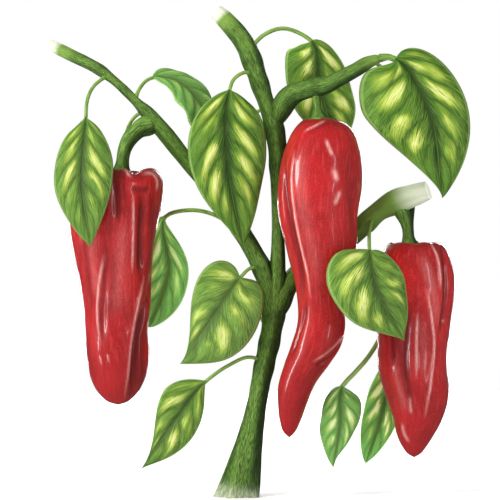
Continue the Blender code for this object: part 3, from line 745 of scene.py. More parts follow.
def make_fruit(name, fold_share):
    """A ripe fruit, pressed in along its folds, with a bumpy crown round the calyx."""
    facts = FRUITS[name]
    rim, reach = fruit_outline(name)
    top = max(z for _, z, _ in facts["slices"])
    low = facts["slices"][-1][1]
    seed = len(name) * 1.7
    lines = fold_lines(name)
    dimples = [(skin_place(name, x, z), z, deep, wide) for x, z, deep, wide in facts["dimples"]]
    shape_at = lru_cache(maxsize=None)(lambda distance: lookup(rim, reach, distance))

    @lru_cache(maxsize=None)
    def at(u, v):
        """Where the skin is, and its marks."""
        x, z, radius = shape_at(round(v * FRUIT_RINGS) / FRUIT_RINGS * reach[-1])
        degrees = turn_between(360.0 * u, 0.0)
        down = (top - z) / (top - low)
        outer = smooth(v, 0.02, 0.075)
        press, crease_shade, ridge = fold_press(lines, degrees, z, max(radius, 4.0))
        for angle, height, deep, wide in dimples:
            away = math.hypot(math.radians(turn_between(degrees, angle)) * radius, z - height)
            press += deep * bell(away, wide)
        inside = min(1.0, radius / 7.0)
        angle = math.radians(degrees)
        out = Vector((math.sin(angle), -math.cos(angle), 0.0))
        swell = 0.4 * ripple((out.x * radius, out.y * radius, z), 13.0, seed)
        swell += 0.06 * ripple((out.x * radius, out.y * radius, z * 0.5), 4.0, seed)
        bumps = (
            rise * bell(turn_between(degrees, bump), wide) for bump, rise, wide in facts["crown"]
        )
        z += sum(bumps) * (bell(down, 0.05) * inside)
        radius = max(0.0, radius - press * inside * outer * fold_share + swell * inside)
        place = Vector((x, facts["depth"], z)) + out * radius
        # The shares of painted shade in the creases and of painted highlight on the ridges.
        return place, {"fold": crease_shade * inside, "ridge": ridge * inside, "down": down}

    made = skin(
        name + "_skin", FRUIT_SIDES, FRUIT_RINGS, lambda u, v: at(u, v)[0],
        lambda u, v: at(u, v)[1], [fruit_red()],
    )
    dress(made, name)


def make_stalk(name, reach_out):
    """A ridged fruit stalk that widens into a toothed calyx, which lies on the fruit's crown."""
    route, radius_at = limb_shape(STALKS[name])
    fruit = name.replace("_stalk", "")
    rim, _ = fruit_outline(fruit)
    widest = next(i for i, level in enumerate(rim) if rim[i + 1].z <= level.z)
    crown = rim[:widest + 1]
    widths = [level.z for level in crown]
    body_rings = round(route.length * STALK_RINGS_PER_MM)
    rings = body_rings + CALYX_RINGS + 2
    seed = len(name) * 2.3
    last = radius_at(route.length)

    def place(u, v):
        ring = round(v * rings)
        angle = 2 * math.pi * u
        ridges = math.cos(CALYX_TEETH * angle + seed)
        if ring <= body_rings:
            distance = ring / body_rings * route.length
            point, _, out = route.around(distance, u)
            radius = radius_at(distance) * (1.0 + 0.045 * ridges + 0.02 * math.cos(13 * angle))
            if distance < 8.0:
                radius *= 1.0 + 0.18 * bell(distance - 3.0, 4.0)
            return point + out * radius
        out = route.around(route.length, u)[2]
        out = Vector((out.x, out.y, 0.0)).normalized()
        tooth = 0.5 + 0.5 * ridges
        step = min(1.0, (ring - body_rings) / CALYX_RINGS)
        full = last + (reach_out - last) * (0.62 + 0.38 * tooth**1.5)
        radius = last + (full - last) * step
        lift = 0.2 + 0.9 * (1.0 - step) + 0.25 * math.sin(math.pi * step) * tooth
        if ring > body_rings + CALYX_RINGS:
            under = ring - body_rings - CALYX_RINGS
            radius, lift = (radius - 0.5, -0.7) if under == 1 else (2.0, -2.5)
        seat = lookup(crown, widths, max(radius, 0.5))
        return Vector((seat.x, FRUITS[fruit]["depth"], seat.y + lift)) + out * radius

    def finish(corner, middle):
        return (corner.x, corner.y * rings / (UV_MM * STALK_RINGS_PER_MM)), 0

    def marks(u, v):
        knot = 0.35 * smooth(v * rings, body_rings - 4, rings)
        out = route.around(min(1.0, v * rings / body_rings) * route.length, u)[2]
        # Painted shade and painted light, as on the limbs, with the shade a little weaker.
        shade, lit = painted_bark_light(out)
        return {"pale": 0.0, "corky": 0.0, "knot": knot, "shade": shade * 0.8, "lit": lit}

    materials = [bark("fruit stalk skin")]
    made = skin(name + "_calyx", STALK_SIDES, rings, place, marks, materials, finish)
    dress(made, name)


def make_leaf(name, thickness, quilting, ruffle):
    """A leaf and its petiole: a round stalk that flattens into a folded, quilted, veined blade."""
    facts = {**LEAF_PLAIN, **LEAVES[name]}
    points = facts["petiole"] + facts["blade"]
    plain = spline(points)
    each = (len(plain) - 1) // (len(points) - 1)
    base = lengths_along(plain)[len(facts["petiole"]) * each]
    route = Route(points, facts["face"], anchor=base)
    blade = route.length - base
    pairs = facts["veins"]
    rings = PETIOLE_RINGS + BLADE_RINGS
    seed = sum(map(ord, name)) % LEAF_SEEDS

    @lru_cache(maxsize=None)
    def outline(t, side):
        """The width of one half of the blade at t, base to tip, and how far it is pulled back."""
        half, widest, rise, lobe = facts[side]
        fall = rise * (1 - widest) / widest
        width = half * (t / widest) ** rise * ((1 - t) / (1 - widest)) ** fall
        return width, width * lobe * (1 - t) ** 3

    def along_blade(v):
        return max(0.0, (v * rings - PETIOLE_RINGS) / BLADE_RINGS) ** ALONG_CROWD

    def across_blade(u):
        even = 4 * u - 1 if u <= 0.5 else 3 - 4 * u
        return math.copysign(abs(even) ** ACROSS_CROWD, even)

    def place(u, v):
        ring = round(v * rings)
        t = along_blade(ring / rings)
        distance = base + blade * t if ring > PETIOLE_RINGS else base * ring / PETIOLE_RINGS
        point, tangent, side, up = route.frame(distance)
        across = across_blade(u)
        a = abs(across)
        upper = 1.0 if u <= 0.5 else -1.0
        half, back = outline(t, "right" if across > 0 else "left")
        stalk = facts["radius"] * (0.8 + 0.3 * bell(distance, 3.0))
        taken = max(half, stalk * (1 - t))
        flat = min(1.0, t / BLADE_FLATTENS)
        round_edge = math.sqrt(1 - a * a) * (1 - flat) + math.sqrt(1 - a**6) * flat
        thick = (stalk * (1 - flat) + thickness / 2 * flat) * (1 - t) ** 0.35
        rise = half * (0.34 * a - 0.40 * a * a)
        open_blade = flat * (1.0 - smooth(t, BLADE_CLOSES, 1.0))
        # Whole phases lie on the side veins, halves midway between them.
        phase = pairs * (t - VEIN_BEND * a**VEIN_CURVE + VEIN_START)
        phase += VEIN_STAGGER if across < 0 else 0.0
        between = 0.5 - 0.5 * math.cos(2 * math.pi * phase)
        inner = smooth(a, 0.03, 0.28) * (1.0 - smooth(a, 0.75, 1.0))
        rise += quilting * min(1.0, half / 14.0) * (between - 0.35) * inner * open_blade
        sway = 2 * math.pi * (pairs * 0.5 * t + seed / 7.0) + (1.3 if across > 0 else 0.0)
        rise += ruffle * math.sin(sway) * a**3 * open_blade
        rib = bell(across * taken, 0.9) * open_blade
        rise += rib * (1 - t) * (-0.35 if upper > 0 else -0.75)
        return (
            point
            + side * across * taken
            + up * (rise + upper * thick * round_edge)
            - tangent * back * across * across
        )

    def finish(corner, middle):
        if middle.y * rings < PETIOLE_RINGS:
            return (corner.x, corner.y * rings / PETIOLE_RINGS * base / UV_MM), 2
        where = (0.5 + 0.5 * across_blade(corner.x), along_blade(corner.y))
        return where, 0 if middle.x < 0.5 else 1

    def marks(u, v):
        return {
            **{label: facts[label] for label in ("glow", "fresh", "cool", "lift")},
            # A stalk's pale is partly painted light, and its shade is painted shade.
            "pairs": pairs, "seed": seed / LEAF_SEEDS, "pale": max(0.0, facts["stalk"]),
            "corky": 0.0, "knot": 1.0 - smooth(v * rings, 0.0, 3.0),
            "shade": max(0.0, -facts["stalk"]), "lit": 0.0,
        }

    materials = [leaf_side(False), leaf_side(True), bark("leaf stalk skin")]
    made = skin(name + "_veined", LEAF_SIDES, rings, place, marks, materials, finish)
    dress(made, name)


class Graph:
    """Short ways to add and join nodes in a node tree."""

    def __init__(self, tree):
        self.tree = tree
        tree.nodes.clear()

    def add(self, kind, sockets=(), **settings):
        """A node with its settings, and its input sockets fed by values or by other sockets."""
        node = self.tree.nodes.new(kind)
        for key, value in settings.items():
            setattr(node, key, value)
        for key, value in dict(sockets).items():
            self.feed(node.inputs[key], value)
        return node

    def feed(self, socket, value):
        if isinstance(value, bpy.types.NodeSocket):
            self.tree.links.new(value, socket)
        elif hasattr(value, "__len__") and len(value) == 3 and socket.type == "RGBA":
            socket.default_value = (*value, 1.0)
        else:
            socket.default_value = value

    def math(self, operation, a, b=0.0, c=0.0):
        return self.add("ShaderNodeMath", {0: a, 1: b, 2: c}, operation=operation).outputs[0]

    def times(self, *values):
        """The product of the values."""
        product = values[0]
        for value in values[1:]:
            product = self.math("MULTIPLY", product, value)
        return product

    def steps(self, value, low, high, start=0.0, end=1.0):
        """A soft step of the value from start, at low, to end, at high."""
        node = self.add(
            "ShaderNodeMapRange",
            {"Value": value, "From Min": low, "From Max": high, "To Min": start, "To Max": end},
            interpolation_type="SMOOTHSTEP",
        )
        return node.outputs["Result"]

    def bell(self, value, width):
        """1 where the value is 0, falling away on both sides."""
        square = self.math("POWER", self.math("DIVIDE", self.math("ABSOLUTE", value), width), 2.0)
        return self.math("EXPONENT", self.times(square, -1.0))

    def mix(self, factor, a, b):
        node = self.add("ShaderNodeMix", data_type="RGBA", clamp_factor=True)
        colour = [s for s in node.inputs if s.enabled and s.type == "RGBA"]
        self.feed(node.inputs["Factor"], factor)
        self.feed(colour[0], a)
        self.feed(colour[1], b)
        return next(s for s in node.outputs if s.enabled and s.type == "RGBA")

    def layers(self, colour, *coats):
        """The colour under its coats: each a colour, and the shares whose product shows of it."""
        for coat, *shares in coats:
            colour = self.mix(self.times(*shares), colour, coat)
        return colour

    def vector(self, x, y, z=0.0):
        return self.add("ShaderNodeCombineXYZ", {"X": x, "Y": y, "Z": z}).outputs[0]

    def noise(self, vector, scale, detail=3.0, roughness=0.55):
        inputs = {"Vector": vector, "Scale": scale, "Detail": detail, "Roughness": roughness}
        return self.add("ShaderNodeTexNoise", inputs).outputs["Fac"]

    def uv(self):
        """The two numbers of the piece's own UV map."""
        place = self.add("ShaderNodeUVMap", uv_map="surface").outputs[0]
        parts = self.add("ShaderNodeSeparateXYZ", {0: place}).outputs
        return parts["X"], parts["Y"]

    def share(self, label):
        return self.add("ShaderNodeAttribute", attribute_name=label).outputs["Fac"]

    def object_place(self):
        return self.add("ShaderNodeTexCoord").outputs["Object"]

    def group(self, tree, sockets):
        return self.add("ShaderNodeGroup", sockets, node_tree=tree).outputs

    def bumped(self, height, strength, distance):
        inputs = {"Height": height, "Strength": strength, "Distance": distance}
        return self.add("ShaderNodeBump", inputs).outputs[0]


def effect(name, inputs, build):
    """The shader node group of this name, whose outputs are what build makes of its inputs."""
    if name in bpy.data.node_groups:
        return bpy.data.node_groups[name]
    tree = bpy.data.node_groups.new(name, "ShaderNodeTree")
    graph = Graph(tree)
    for label in inputs:
        tree.interface.new_socket(label, in_out="INPUT", socket_type="NodeSocketFloat")
    found = build(graph, graph.add("NodeGroupInput").outputs)
    for label in found:
        tree.interface.new_socket(label, in_out="OUTPUT", socket_type="NodeSocketFloat")
    graph.add("NodeGroupOutput", found)
    return tree


def surface(name, build, **plain):
    """A material whose Principled shader is fed by build(graph), with plain values on the rest."""
    if name in bpy.data.materials:
        return bpy.data.materials[name]
    made = bpy.data.materials.new(name)
    made.use_nodes = True
    graph = Graph(made.node_tree)
    shader = graph.add("ShaderNodeBsdfPrincipled")
    graph.add("ShaderNodeOutputMaterial", {"Surface": shader.outputs[0]})
    for key, value in {**plain, **build(graph)}.items():
        graph.feed(shader.inputs[key.replace("_", " ")], value)
    return made


def sets_of(name):
    """The settings of one group of pieces, as the panel shows them."""
    return getattr(bpy.context.scene, "chilli_" + name)


def streaks(graph, around, along):
    """Streaks that run along a stem or a fruit, fine and broad, without a seam."""

    def build(graph, given):
        angle = graph.times(given["Turn"], 2 * math.pi)
        cosine, sine = graph.math("COSINE", angle), graph.math("SINE", angle)
        found = {}
        for label, share, seed in (("Fine", 1.0, 0.0), ("Broad", 0.3, 40.0)):
            wide = graph.times(given["Around"], share)
            place = graph.vector(
                graph.math("MULTIPLY_ADD", cosine, wide, seed), graph.times(sine, wide),
                graph.times(given["Length"], graph.times(given["Along"], share * 1.4)),
            )
            found[label] = graph.noise(place, 1.0)
        return found

    turn, length = graph.uv()
    inputs = {"Turn": turn, "Length": length, "Around": around, "Along": along}
    found = graph.group(effect("lengthwise streaks", inputs, build), inputs)
    return found["Fine"], found["Broad"]


def vein_marks(graph, given):
    """Where the midrib, the side veins and the painted highlights between them lie on a leaf."""
    across, along, pairs, seed = (given[key] for key in ("Across", "Along", "Pairs", "Seed"))
    a = graph.math("ABSOLUTE", across)
    left = graph.math("LESS_THAN", across, 0.0)
    bent = graph.times(graph.math("POWER", a, VEIN_CURVE), -VEIN_BEND)
    shifted = graph.math("ADD", graph.math("ADD", along, bent), VEIN_START)
    wobble = graph.noise(
        graph.vector(graph.times(across, 3.0), graph.times(along, 6.0), seed), 1.0, 2.0,
    )
    sway = graph.times(graph.math("SUBTRACT", wobble, 0.5), 0.35)
    phase = graph.math(
        "MULTIPLY_ADD", shifted, pairs, graph.math("MULTIPLY_ADD", left, VEIN_STAGGER, sway),
    )
    away = graph.math("PINGPONG", phase, 0.5)
    # Strokes leave the midrib steeply and turn outwards, as the finest veins do.
    lean = graph.math("MULTIPLY_ADD", graph.math("POWER", a, 0.8), -0.55, along)
    fan = graph.vector(
        graph.times(lean, graph.times(pairs, 32.0)), graph.times(a, 5.0),
        graph.math("MULTIPLY_ADD", left, 9.0, graph.times(seed, 30.0)),
    )
    strokes = graph.noise(fan, 1.0, 3.0, 0.75)
    fading = graph.math("SUBTRACT", 1.0, graph.times(a, 0.5))
    line = graph.times(graph.bell(away, 0.035), graph.steps(a, 0.75, 0.95, 1.0, 0.0))
    feather = graph.math("MULTIPLY_ADD", graph.math("SUBTRACT", strokes, 0.5), 0.5, a)
    blotch = graph.noise(
        graph.vector(graph.math("MULTIPLY_ADD", across, 1.6, 5.0), graph.times(phase, 0.9),
                     graph.times(seed, 23.0)), 1.0, 1.0,
    )
    # Painted highlights on the bulges between the side veins.
    interveinal_highlight = graph.times(
        graph.bell(graph.math("SUBTRACT", away, 0.5), 0.33),
        graph.steps(feather, 0.16, 0.36), graph.steps(feather, 0.52, 0.98, 1.0, 0.0),
        graph.steps(along, 0.02, 0.10), graph.steps(along, 0.60, 0.86, 1.0, 0.0),
        graph.steps(strokes, 0.34, 0.58, 0.15, 1.0), graph.steps(blotch, 0.36, 0.58, 0.12, 1.0),
    )
    cells = graph.vector(graph.times(across, 11.0), graph.times(phase, 4.0), seed)
    net = graph.add(
        "ShaderNodeTexVoronoi", {"Vector": cells, "Scale": 1.0}, feature="DISTANCE_TO_EDGE",
    ).outputs["Distance"]
    grooves = graph.times(graph.math("MAXIMUM", line, graph.bell(a, 0.03)), -0.8)
    return {
        "Midrib": graph.math("MAXIMUM", graph.bell(feather, 0.17), graph.bell(a, 0.08)),
        "Midrib line": graph.bell(a, 0.014), "Vein line": line, "Patch": interveinal_highlight,
        "Side veins": graph.times(graph.bell(away, 0.11), fading), "Strokes": strokes,
        "Height": graph.math("MULTIPLY_ADD", graph.steps(net, 0.0, 0.12), 0.35, grooves),
    }


def leaf_side(under):
    """The veined upper side or underside of a leaf."""
    leaf = sets_of("leaf")

    def build(graph):
        u, along = graph.uv()
        across = graph.math("MULTIPLY_ADD", u, 2.0, -1.0)
        inputs = {"Across": across, "Along": along, "Pairs": graph.share("pairs"),
                  "Seed": graph.share("seed")}
        found = graph.group(effect("leaf veins", inputs, vein_marks), inputs)
        strokes, height = found["Strokes"], found["Height"]
        cloud = graph.noise(graph.object_place(), 90.0, 2.0)
        # glow is the painted highlight between the veins, as strong as the leaf's share.
        cool, glow = graph.share("cool"), graph.times(found["Patch"], graph.share("glow"))
        yellow = graph.mix(cool, leaf.yellow, leaf.fresh)
        cream = graph.mix(cool, leaf.cream, leaf.mist)
        # Broad dark bands along the sunken veins: a darker green, with painted shade in their
        # grooves.
        dark = graph.math("MAXIMUM", found["Midrib"], graph.times(found["Side veins"], 0.65))
        rim = graph.steps(graph.math("ABSOLUTE", across), 0.925, 0.965, 0.0, 0.6)
        tip = graph.steps(along, 0.45, 0.85, 0.10, 0.55)
        colour = graph.layers(
            leaf.dark,
            (leaf.green, graph.steps(strokes, 0.24, 0.62)),
            (leaf.light, graph.steps(strokes, 0.42, 0.66), graph.steps(cloud, 0.3, 0.6), 0.75),
            # Cool green on leaves in shade: a painted tint of shade.
            (leaf.cool, cool, graph.steps(strokes, 0.2, 0.7, 0.7, 1.0)),
            # Yellow and cream, or pale greens on the cool leaves, are painted highlights between
            # the veins.
            (yellow, graph.steps(glow, 0.0, 0.60)),
            (cream, graph.steps(glow, 0.35, 1.0)),
            (leaf.dark, dark, graph.steps(strokes, 0.75, 0.35, 0.75, 1.0)),
            # The outer part of the right half of the blade darker: painted shade.
            (leaf.dark, graph.steps(across, 0.45, 1.0), graph.steps(strokes, 0.6, 0.4), 0.7),
            (leaf.light, found["Midrib line"], tip),
            (leaf.fresh, rim),
            # Pale green over leaves in shade: painted light.
            (leaf.fresh, graph.share("fresh"), graph.steps(strokes, 0.2, 0.7, 0.55, 1.0)),
        )
        if under:
            rib = graph.math("MAXIMUM", graph.bell(across, 0.04),
                             graph.times(found["Vein line"], 0.6))
            colour = graph.layers(colour, (leaf.under, 0.6), (leaf.cream, rib, 0.65))
            rough, normal = (0.62, 0.74), graph.bumped(graph.times(height, -1.0), 0.8, 0.0003)
        else:
            # The lift brightens the upper side of leaves in shade: painted light.
            value = graph.math("ADD", graph.share("lift"), 1.0)
            lighter = {"Value": value, "Color": colour}
            colour = graph.add("ShaderNodeHueSaturation", lighter).outputs[0]
            rough, normal = (0.42, 0.58), graph.bumped(height, 0.5, 0.0003)
        return {
            "Base Color": colour, "Normal": normal,
            "Roughness": graph.steps(strokes, 0.2, 0.8, *rough),
        }

    if under:
        return surface("leaf underside", build, Specular_IOR_Level=0.15)
    return surface("leaf upper side", build, Specular_IOR_Level=0.2)


def bark(name):
    """Streaked green bark, corky at the foot, darker at the knots, pale near a cut end, with
    painted shade and light.
    """
    stem, leaf = sets_of("stem"), sets_of("leaf")
    # Streaks around and along, relief in metres, shine, and the dark, main and light colours.
    around, along, relief, shine, dark, green, light = {
        "ridged green bark": (20.0, 26.0, 0.0004, 0.18, stem.dark, stem.green, stem.light),
        "fruit stalk skin": (7.0, 16.0, 0.0003, 0.2, stem.dark, stem.stalk, stem.light),
        "leaf stalk skin": (2.2, 14.0, 0.00015, 0.25, stem.green, stem.light, leaf.fresh),
    }[name]

    def build(graph):
        fine, broad = streaks(graph, around, along)
        pale = graph.share("pale")
        colour = graph.layers(
            dark,
            (green, graph.steps(broad, 0.30, 0.60, 0.25, 1.0)),
            (light, graph.steps(fine, 0.48, 0.70), 0.55),
            (dark, graph.steps(fine, 0.50, 0.30), 0.6),
            # Painted light on the front of the bark.
            (light, graph.share("lit"), graph.steps(fine, 0.40, 0.62, 0.05, 0.6)),
            # Painted shade on its right and under it.
            (dark, graph.share("shade"), graph.steps(fine, 0.3, 0.7, 0.95, 0.6)),
            (dark, graph.share("knot"), graph.steps(broad, 0.3, 0.6, 0.9, 0.4), 0.6),
            (stem.cork, graph.share("corky"), graph.steps(fine, 0.38, 0.62, 0.5, 1.0)),
            (light, graph.steps(pale, 0.0, 0.6, 0.0, 0.7)),
            (stem.pale, graph.steps(pale, 0.78, 1.04, 0.0, 0.95)),
        )
        height = graph.math("MULTIPLY_ADD", broad, 0.6, fine)
        return {
            "Base Color": colour, "Roughness": graph.steps(fine, 0.3, 0.7, 0.5, 0.68),
            "Normal": graph.bumped(height, 0.6, relief),
        }

    return surface(name, build, Specular_IOR_Level=shine)


def cut_wood():
    """Pale pith inside a thin green rim."""
    stem = sets_of("stem")

    def build(graph):
        grain = graph.noise(graph.object_place(), 2200.0, 3.0)
        return {
            "Base Color": graph.mix(graph.steps(grain, 0.35, 0.65), stem.pale, stem.pith),
            "Roughness": graph.steps(grain, 0.3, 0.7, 0.7, 0.85),
            "Normal": graph.bumped(grain, 0.4, 0.0002),
        }

    return surface("cut stem pith", build, Specular_IOR_Level=0.2)


def fruit_red():
    """Waxy red skin with lengthwise streaks, painted shade in its folds and under the calyx,
    painted highlights on its ridges, and deeper towards the tip.
    """
    fruit = sets_of("fruit")

    def build(graph):
        fine, broad = streaks(graph, 58.0, 40.0)
        cloud = graph.noise(graph.object_place(), 55.0, 2.0)
        grain = graph.noise(graph.object_place(), 1500.0, 2.0)
        down = graph.share("down")
        colour = graph.layers(
            fruit.deep,
            (fruit.skin, graph.steps(cloud, 0.34, 0.66, 0.35, 1.0)),
            (fruit.bright, graph.steps(broad, 0.46, 0.74), 0.45),
            (fruit.deep, graph.steps(fine, 0.50, 0.28), 0.55),
            (fruit.bright, graph.steps(grain, 0.50, 0.70), 0.35),
            # Pale lines and bands along the ridges are painted highlights.
            (fruit.ridge, graph.share("ridge"), graph.steps(fine, 0.36, 0.60, 0.35, 0.8)),
            # The dark in the creases is painted shade.
            (fruit.fold, graph.share("fold"), graph.steps(fine, 0.3, 0.6, 1.0, 0.75), 0.95),
            (fruit.deep, graph.steps(down, 0.45, 1.0, 0.0, 0.5)),
            # Darker just under the calyx is painted shade.
            (fruit.fold, graph.steps(down, 0.0, 0.05, 0.45, 0.0)),
        )
        height = graph.math("MULTIPLY_ADD", grain, 0.35, fine)
        height = graph.math("MULTIPLY_ADD", broad, 1.2, height)
        return {
            "Base Color": colour, "Roughness": graph.steps(fine, 0.3, 0.7, 0.38, 0.5),
            "Normal": graph.bumped(height, 0.22, 0.0002),
        }

    return surface(
        "ripe red skin", build, Coat_Weight=0.65, Coat_Roughness=0.14, Coat_IOR=1.45,
        Specular_IOR_Level=0.25,
    )


def floor_white():
    """A nearly white floor, very faintly clouded."""
    stage = sets_of("stage")

    def build(graph):
        cloud = graph.noise(graph.object_place(), 5.0, 2.0)
        shade = [channel * 0.97 for channel in stage.floor]
        return {"Base Color": graph.mix(graph.steps(cloud, 0.3, 0.7), shade, stage.floor)}

    return surface("pale floor", build, Roughness=0.9, Specular_IOR_Level=0.1)


def linear(channel):
    """A colour channel given from 0 to 255 as it looks on a screen, as the shaders take it."""
    share = channel / 255
    return share / 12.92 if share <= 0.04045 else ((share + 0.055) / 1.055) ** 2.4


def tint(name, description, *screen):
    return FloatVectorProperty(
        name=name, description=description, subtype="COLOR", size=3, min=0.0, max=1.0,
        default=tuple(linear(channel) for channel in screen),
    )


def number(name, description, default, low, **more):
    return FloatProperty(name=name, description=description, default=default, min=low, **more)


class ChilliStageSettings(bpy.types.PropertyGroup):
    floor_radius: number("Floor radius", "How far the round floor reaches", 1.2, 0.5,
                         unit="LENGTH")
    key_power: number("Key light", "Power of the large soft light at the upper left", 17.0, 0.0,
                      unit="POWER")
    streak_power: number("Strip lights", "Power of the tall narrow lights that streak the fruit",
                         4.5, 0.0, unit="POWER")
    floor: tint("Floor", "Colour of the floor", 250, 250, 250)


class ChilliStemSettings(bpy.types.PropertyGroup):
    ridge_depth: number("Ridge depth", "Depth of the long ridges, as a share of the radius",
                        0.05, 0.0, max=0.2, subtype="FACTOR")
    knot_swell: number("Knot swelling", "How much a stem thickens where something grows from it",
                       0.13, 0.0, max=0.5, subtype="FACTOR")
    # Dark bark is also the painted shade on the right of the stems and under them, and light bark
    # the painted light on their front.
    dark: tint("Dark bark", "Colour of the stems between their ridges", 26, 46, 16)
    green: tint("Green bark", "Main colour of the stems", 64, 100, 34)
    light: tint("Light bark", "Colour of the fine streaks on the ridges", 120, 152, 66)
    stalk: tint("Fruit stalk", "Main colour of the fruit stalks", 78, 116, 42)
    cork: tint("Corky foot", "Colour of the woody foot of the plant", 192, 198, 168)
    pale: tint("Cut end", "Colour of the bark close to a cut", 216, 221, 200)
    pith: tint("Pith", "Colour of the middle of a cut", 240, 240, 226)


class ChilliFruitSettings(bpy.types.PropertyGroup):
    fold_share: number("Fold depth", "How deep the folds are, against the sizes in the tables",
                       1.0, 0.0, max=1.5, subtype="FACTOR")
    calyx_reach: number("Calyx reach", "How far the teeth of a calyx reach from the stalk",
                        0.0088, 0.005, max=0.014, unit="LENGTH")
    skin: tint("Skin", "Main colour of the ripe fruit", 167, 17, 22)
    bright: tint("Bright streaks", "Colour of the lighter streaks", 208, 64, 62)
    deep: tint("Deep streaks", "Colour of the darker streaks", 132, 7, 11)
    # The Ridges colour is a painted highlight, and the Folds colour is painted shade in the creases
    # and under the calyx.
    ridge: tint("Ridges", "Colour of the waxy lines on the sharpest ridges", 240, 186, 180)
    fold: tint("Folds", "Colour in the folds and under the crown", 82, 10, 14)


class ChilliLeafSettings(bpy.types.PropertyGroup):
    thickness: number("Thickness", "Thickness of a leaf blade", 0.0006, 0.0003, max=0.0015,
                      unit="LENGTH")
    quilting: number("Quilting", "How far a blade bulges between its side veins", 0.0011, 0.0,
                     max=0.003, unit="LENGTH")
    ruffle: number("Ruffle", "How far the margin of a blade waves up and down", 0.0009, 0.0,
                   max=0.003, unit="LENGTH")
    # Vein green is also the painted shade in the sunken veins and on the right half of a blade.
    dark: tint("Vein green", "Colour of the broad bands along the veins", 22, 44, 10)
    green: tint("Leaf green", "Main colour of the blades", 84, 125, 38)
    light: tint("Light green", "Colour of the lighter strokes", 122, 158, 60)
    # Yellow and cream are painted highlights on the bulges between the veins.
    yellow: tint("Yellow", "Colour of the pale places between the veins", 164, 182, 68)
    cream: tint("Cream", "Colour of the palest places between the veins", 208, 210, 138)
    # Laid over leaves in shade this green is painted light. It also colours leaf rims and the light
    # streaks of leaf stalks.
    fresh: tint("Fresh green", "Colour that the youngest and thinnest leaves lean to",
                156, 190, 104)
    # A painted highlight between the veins of the cool leaves.
    mist: tint("Pale green", "Colour of the palest places on the cool leaves", 232, 242, 214)
    # A painted tint for leaves that lie in shade.
    cool: tint("Cool green", "Colour that the thick, shaded leaves lean to", 84, 164, 88)
    under: tint("Underside", "Colour that the underside leans to", 120, 152, 84)


# Lights: their place, the share of the key light's or the strip lights' power, and their size.
# They all point at the plant's middle. The sky's strength is lower where skin mirrors it.
PLANT_MIDDLE = (0.0, 0.0, 0.12)
BROAD_LIGHTS = {
    "key": ((-0.75, -1.05, 1.15), 1.0, (0.7, 0.7)),
    "fill back": ((0.1, 1.3, 0.9), 0.5, (1.0, 1.0)),
}
STRIP_LIGHTS = {
    "strip left": ((-1.1, -0.4, 0.3), 1.5, (0.07, 0.8)),
    "strip right": ((0.75, -0.85, 0.3), 0.4, (0.05, 0.8)),
    "strip back left": ((-0.35, 1.1, 0.3), 0.7, (0.03, 0.8)),
    "strip back right": ((0.3, 1.15, 0.3), 0.7, (0.03, 0.8)),
}
SKY_STRENGTH, SKY_MIRRORED = 0.78, 0.09
CAMERA_PLACE = (0.0055, -1.6, 0.1235)
CAMERA_LENS, CAMERA_SENSOR = 230.0, 36.0
FLOOR_SIDES = 96


def light_up(lights, power, mirrored):
    """Soft lights with no corners, which glossy skin mirrors or doesn't."""
    for name, (place, share, size) in lights.items():
        light = bpy.data.lights.new(name, "AREA")
        light.shape, light.energy = "ELLIPSE", power * share
        light.size, light.size_y = size
        made = linked(bpy.data.objects.new(name, light))
        made.location = place
        toward = Vector(PLANT_MIDDLE) - Vector(place)
        made.rotation_euler = toward.to_track_quat("-Z", "Y").to_euler()
        made.visible_glossy = mirrored


class CHILLI_OT_stage(bpy.types.Operator):
    """Lays the pale floor, sets the soft studio light and places the camera"""

    bl_idname = "chilli.stage"
    bl_label = "Stage"
    bl_options = {"REGISTER", "UNDO"}

    def execute(self, context):
        stage = context.scene.chilli_stage
        mesh = bpy.data.meshes.new("floor")
        bm = bmesh.new()
        bmesh.ops.create_circle(bm, cap_ends=True, segments=FLOOR_SIDES, radius=stage.floor_radius)
        bm.to_mesh(mesh)
        bm.free()
        mesh.materials.append(floor_white())
        floor = linked(bpy.data.objects.new("floor", mesh))
        floor.visible_glossy = False

        world = bpy.data.worlds.new("white studio")
        context.scene.world = world
        world.use_nodes = True
        graph = Graph(world.node_tree)
        ray = graph.add("ShaderNodeLightPath").outputs
        dimmed = SKY_MIRRORED - SKY_STRENGTH
        soft = graph.math("MULTIPLY_ADD", ray["Is Glossy Ray"], dimmed, SKY_STRENGTH)
        strength = graph.math("MAXIMUM", soft, ray["Is Camera Ray"])
        white = graph.add("ShaderNodeBackground", {"Color": (1, 1, 1), "Strength": strength})
        graph.add("ShaderNodeOutputWorld", {"Surface": white.outputs[0]})

        light_up(BROAD_LIGHTS, stage.key_power, mirrored=False)
        light_up(STRIP_LIGHTS, stage.streak_power, mirrored=True)

        camera = bpy.data.cameras.new("camera")
        camera.lens, camera.sensor_width = CAMERA_LENS, CAMERA_SENSOR
        made = linked(bpy.data.objects.new("camera", camera))
        made.location = CAMERA_PLACE
        made.rotation_euler = (math.radians(90.0), 0.0, 0.0)
        context.scene.camera = made
        context.scene.view_settings.view_transform = "Standard"
        return {"FINISHED"}


class CHILLI_OT_limbs(bpy.types.Operator):
    """Makes the main stem, the boughs and the twig, ridged and knotted, with pale cut ends"""

    bl_idname = "chilli.limbs"
    bl_label = "Stem and boughs"
    bl_options = {"REGISTER", "UNDO"}

    def execute(self, context):
        stem = context.scene.chilli_stem
        for name in LIMBS:
            make_limb(name, stem.ridge_depth, stem.knot_swell)
        return {"FINISHED"}


class CHILLI_OT_fruit(bpy.types.Operator):
    """Makes the ripe fruit, pressed in along their folds"""

    bl_idname = "chilli.fruit"
    bl_label = "Fruit"
    bl_options = {"REGISTER", "UNDO"}

    def execute(self, context):
        for name in FRUITS:
            make_fruit(name, context.scene.chilli_fruit.fold_share)
        return {"FINISHED"}


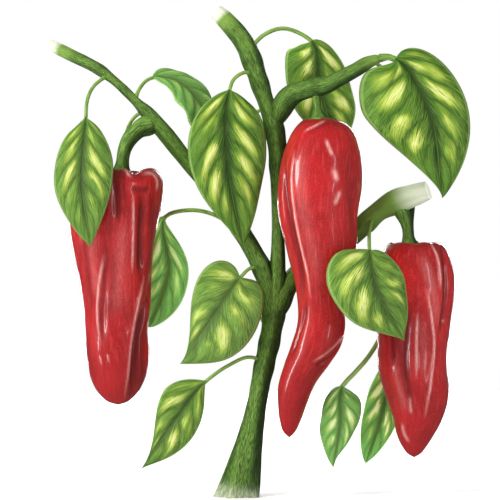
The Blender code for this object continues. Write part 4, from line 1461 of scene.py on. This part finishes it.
class CHILLI_OT_stalks(bpy.types.Operator):
    """Makes the fruit stalks, each with a toothed calyx over the crown of its fruit"""

    bl_idname = "chilli.stalks"
    bl_label = "Fruit stalks"
    bl_options = {"REGISTER", "UNDO"}

    def execute(self, context):
        for name in STALKS:
            make_stalk(name, context.scene.chilli_fruit.calyx_reach / MM)
        return {"FINISHED"}


class CHILLI_OT_leaves(bpy.types.Operator):
    """Makes the leaves, each with its stalk, folded along the midrib and quilted by its veins"""

    bl_idname = "chilli.leaves"
    bl_label = "Leaves"
    bl_options = {"REGISTER", "UNDO"}

    def execute(self, context):
        leaf = context.scene.chilli_leaf
        for name in LEAVES:
            make_leaf(name, leaf.thickness / MM, leaf.quilting / MM, leaf.ruffle / MM)
        return {"FINISHED"}


SETTINGS = {
    "stage": ChilliStageSettings, "stem": ChilliStemSettings,
    "fruit": ChilliFruitSettings, "leaf": ChilliLeafSettings,
}
OPERATORS = (
    CHILLI_OT_stage, CHILLI_OT_limbs, CHILLI_OT_fruit, CHILLI_OT_stalks, CHILLI_OT_leaves,
)


class CHILLI_PT_panel(bpy.types.Panel):
    """The steps that dress the plant, and the settings that they read"""

    bl_idname = "CHILLI_PT_panel"
    bl_label = "Chilli Pepper Plant"
    bl_space_type = "VIEW_3D"
    bl_region_type = "UI"
    bl_category = "Chilli"

    def draw(self, context):
        for operator in OPERATORS:
            self.layout.operator(operator.bl_idname)
        for label, kind in SETTINGS.items():
            box = self.layout.box()
            box.label(text=label.capitalize())
            for key in kind.__annotations__:
                box.prop(sets_of(label), key)


CLASSES = (*SETTINGS.values(), *OPERATORS, CHILLI_PT_panel)


def register():
    for kind in CLASSES:
        bpy.utils.register_class(kind)
    for label, kind in SETTINGS.items():
        setattr(bpy.types.Scene, "chilli_" + label, PointerProperty(type=kind))


def unregister():
    for label in SETTINGS:
        delattr(bpy.types.Scene, "chilli_" + label)
    for kind in reversed(CLASSES):
        bpy.utils.unregister_class(kind)


def main():
    register()
    bpy.ops.chilli.stage()
    bpy.ops.chilli.limbs()
    bpy.ops.chilli.fruit()
    bpy.ops.chilli.stalks()
    bpy.ops.chilli.leaves()


if __name__ == "__main__":
    main()
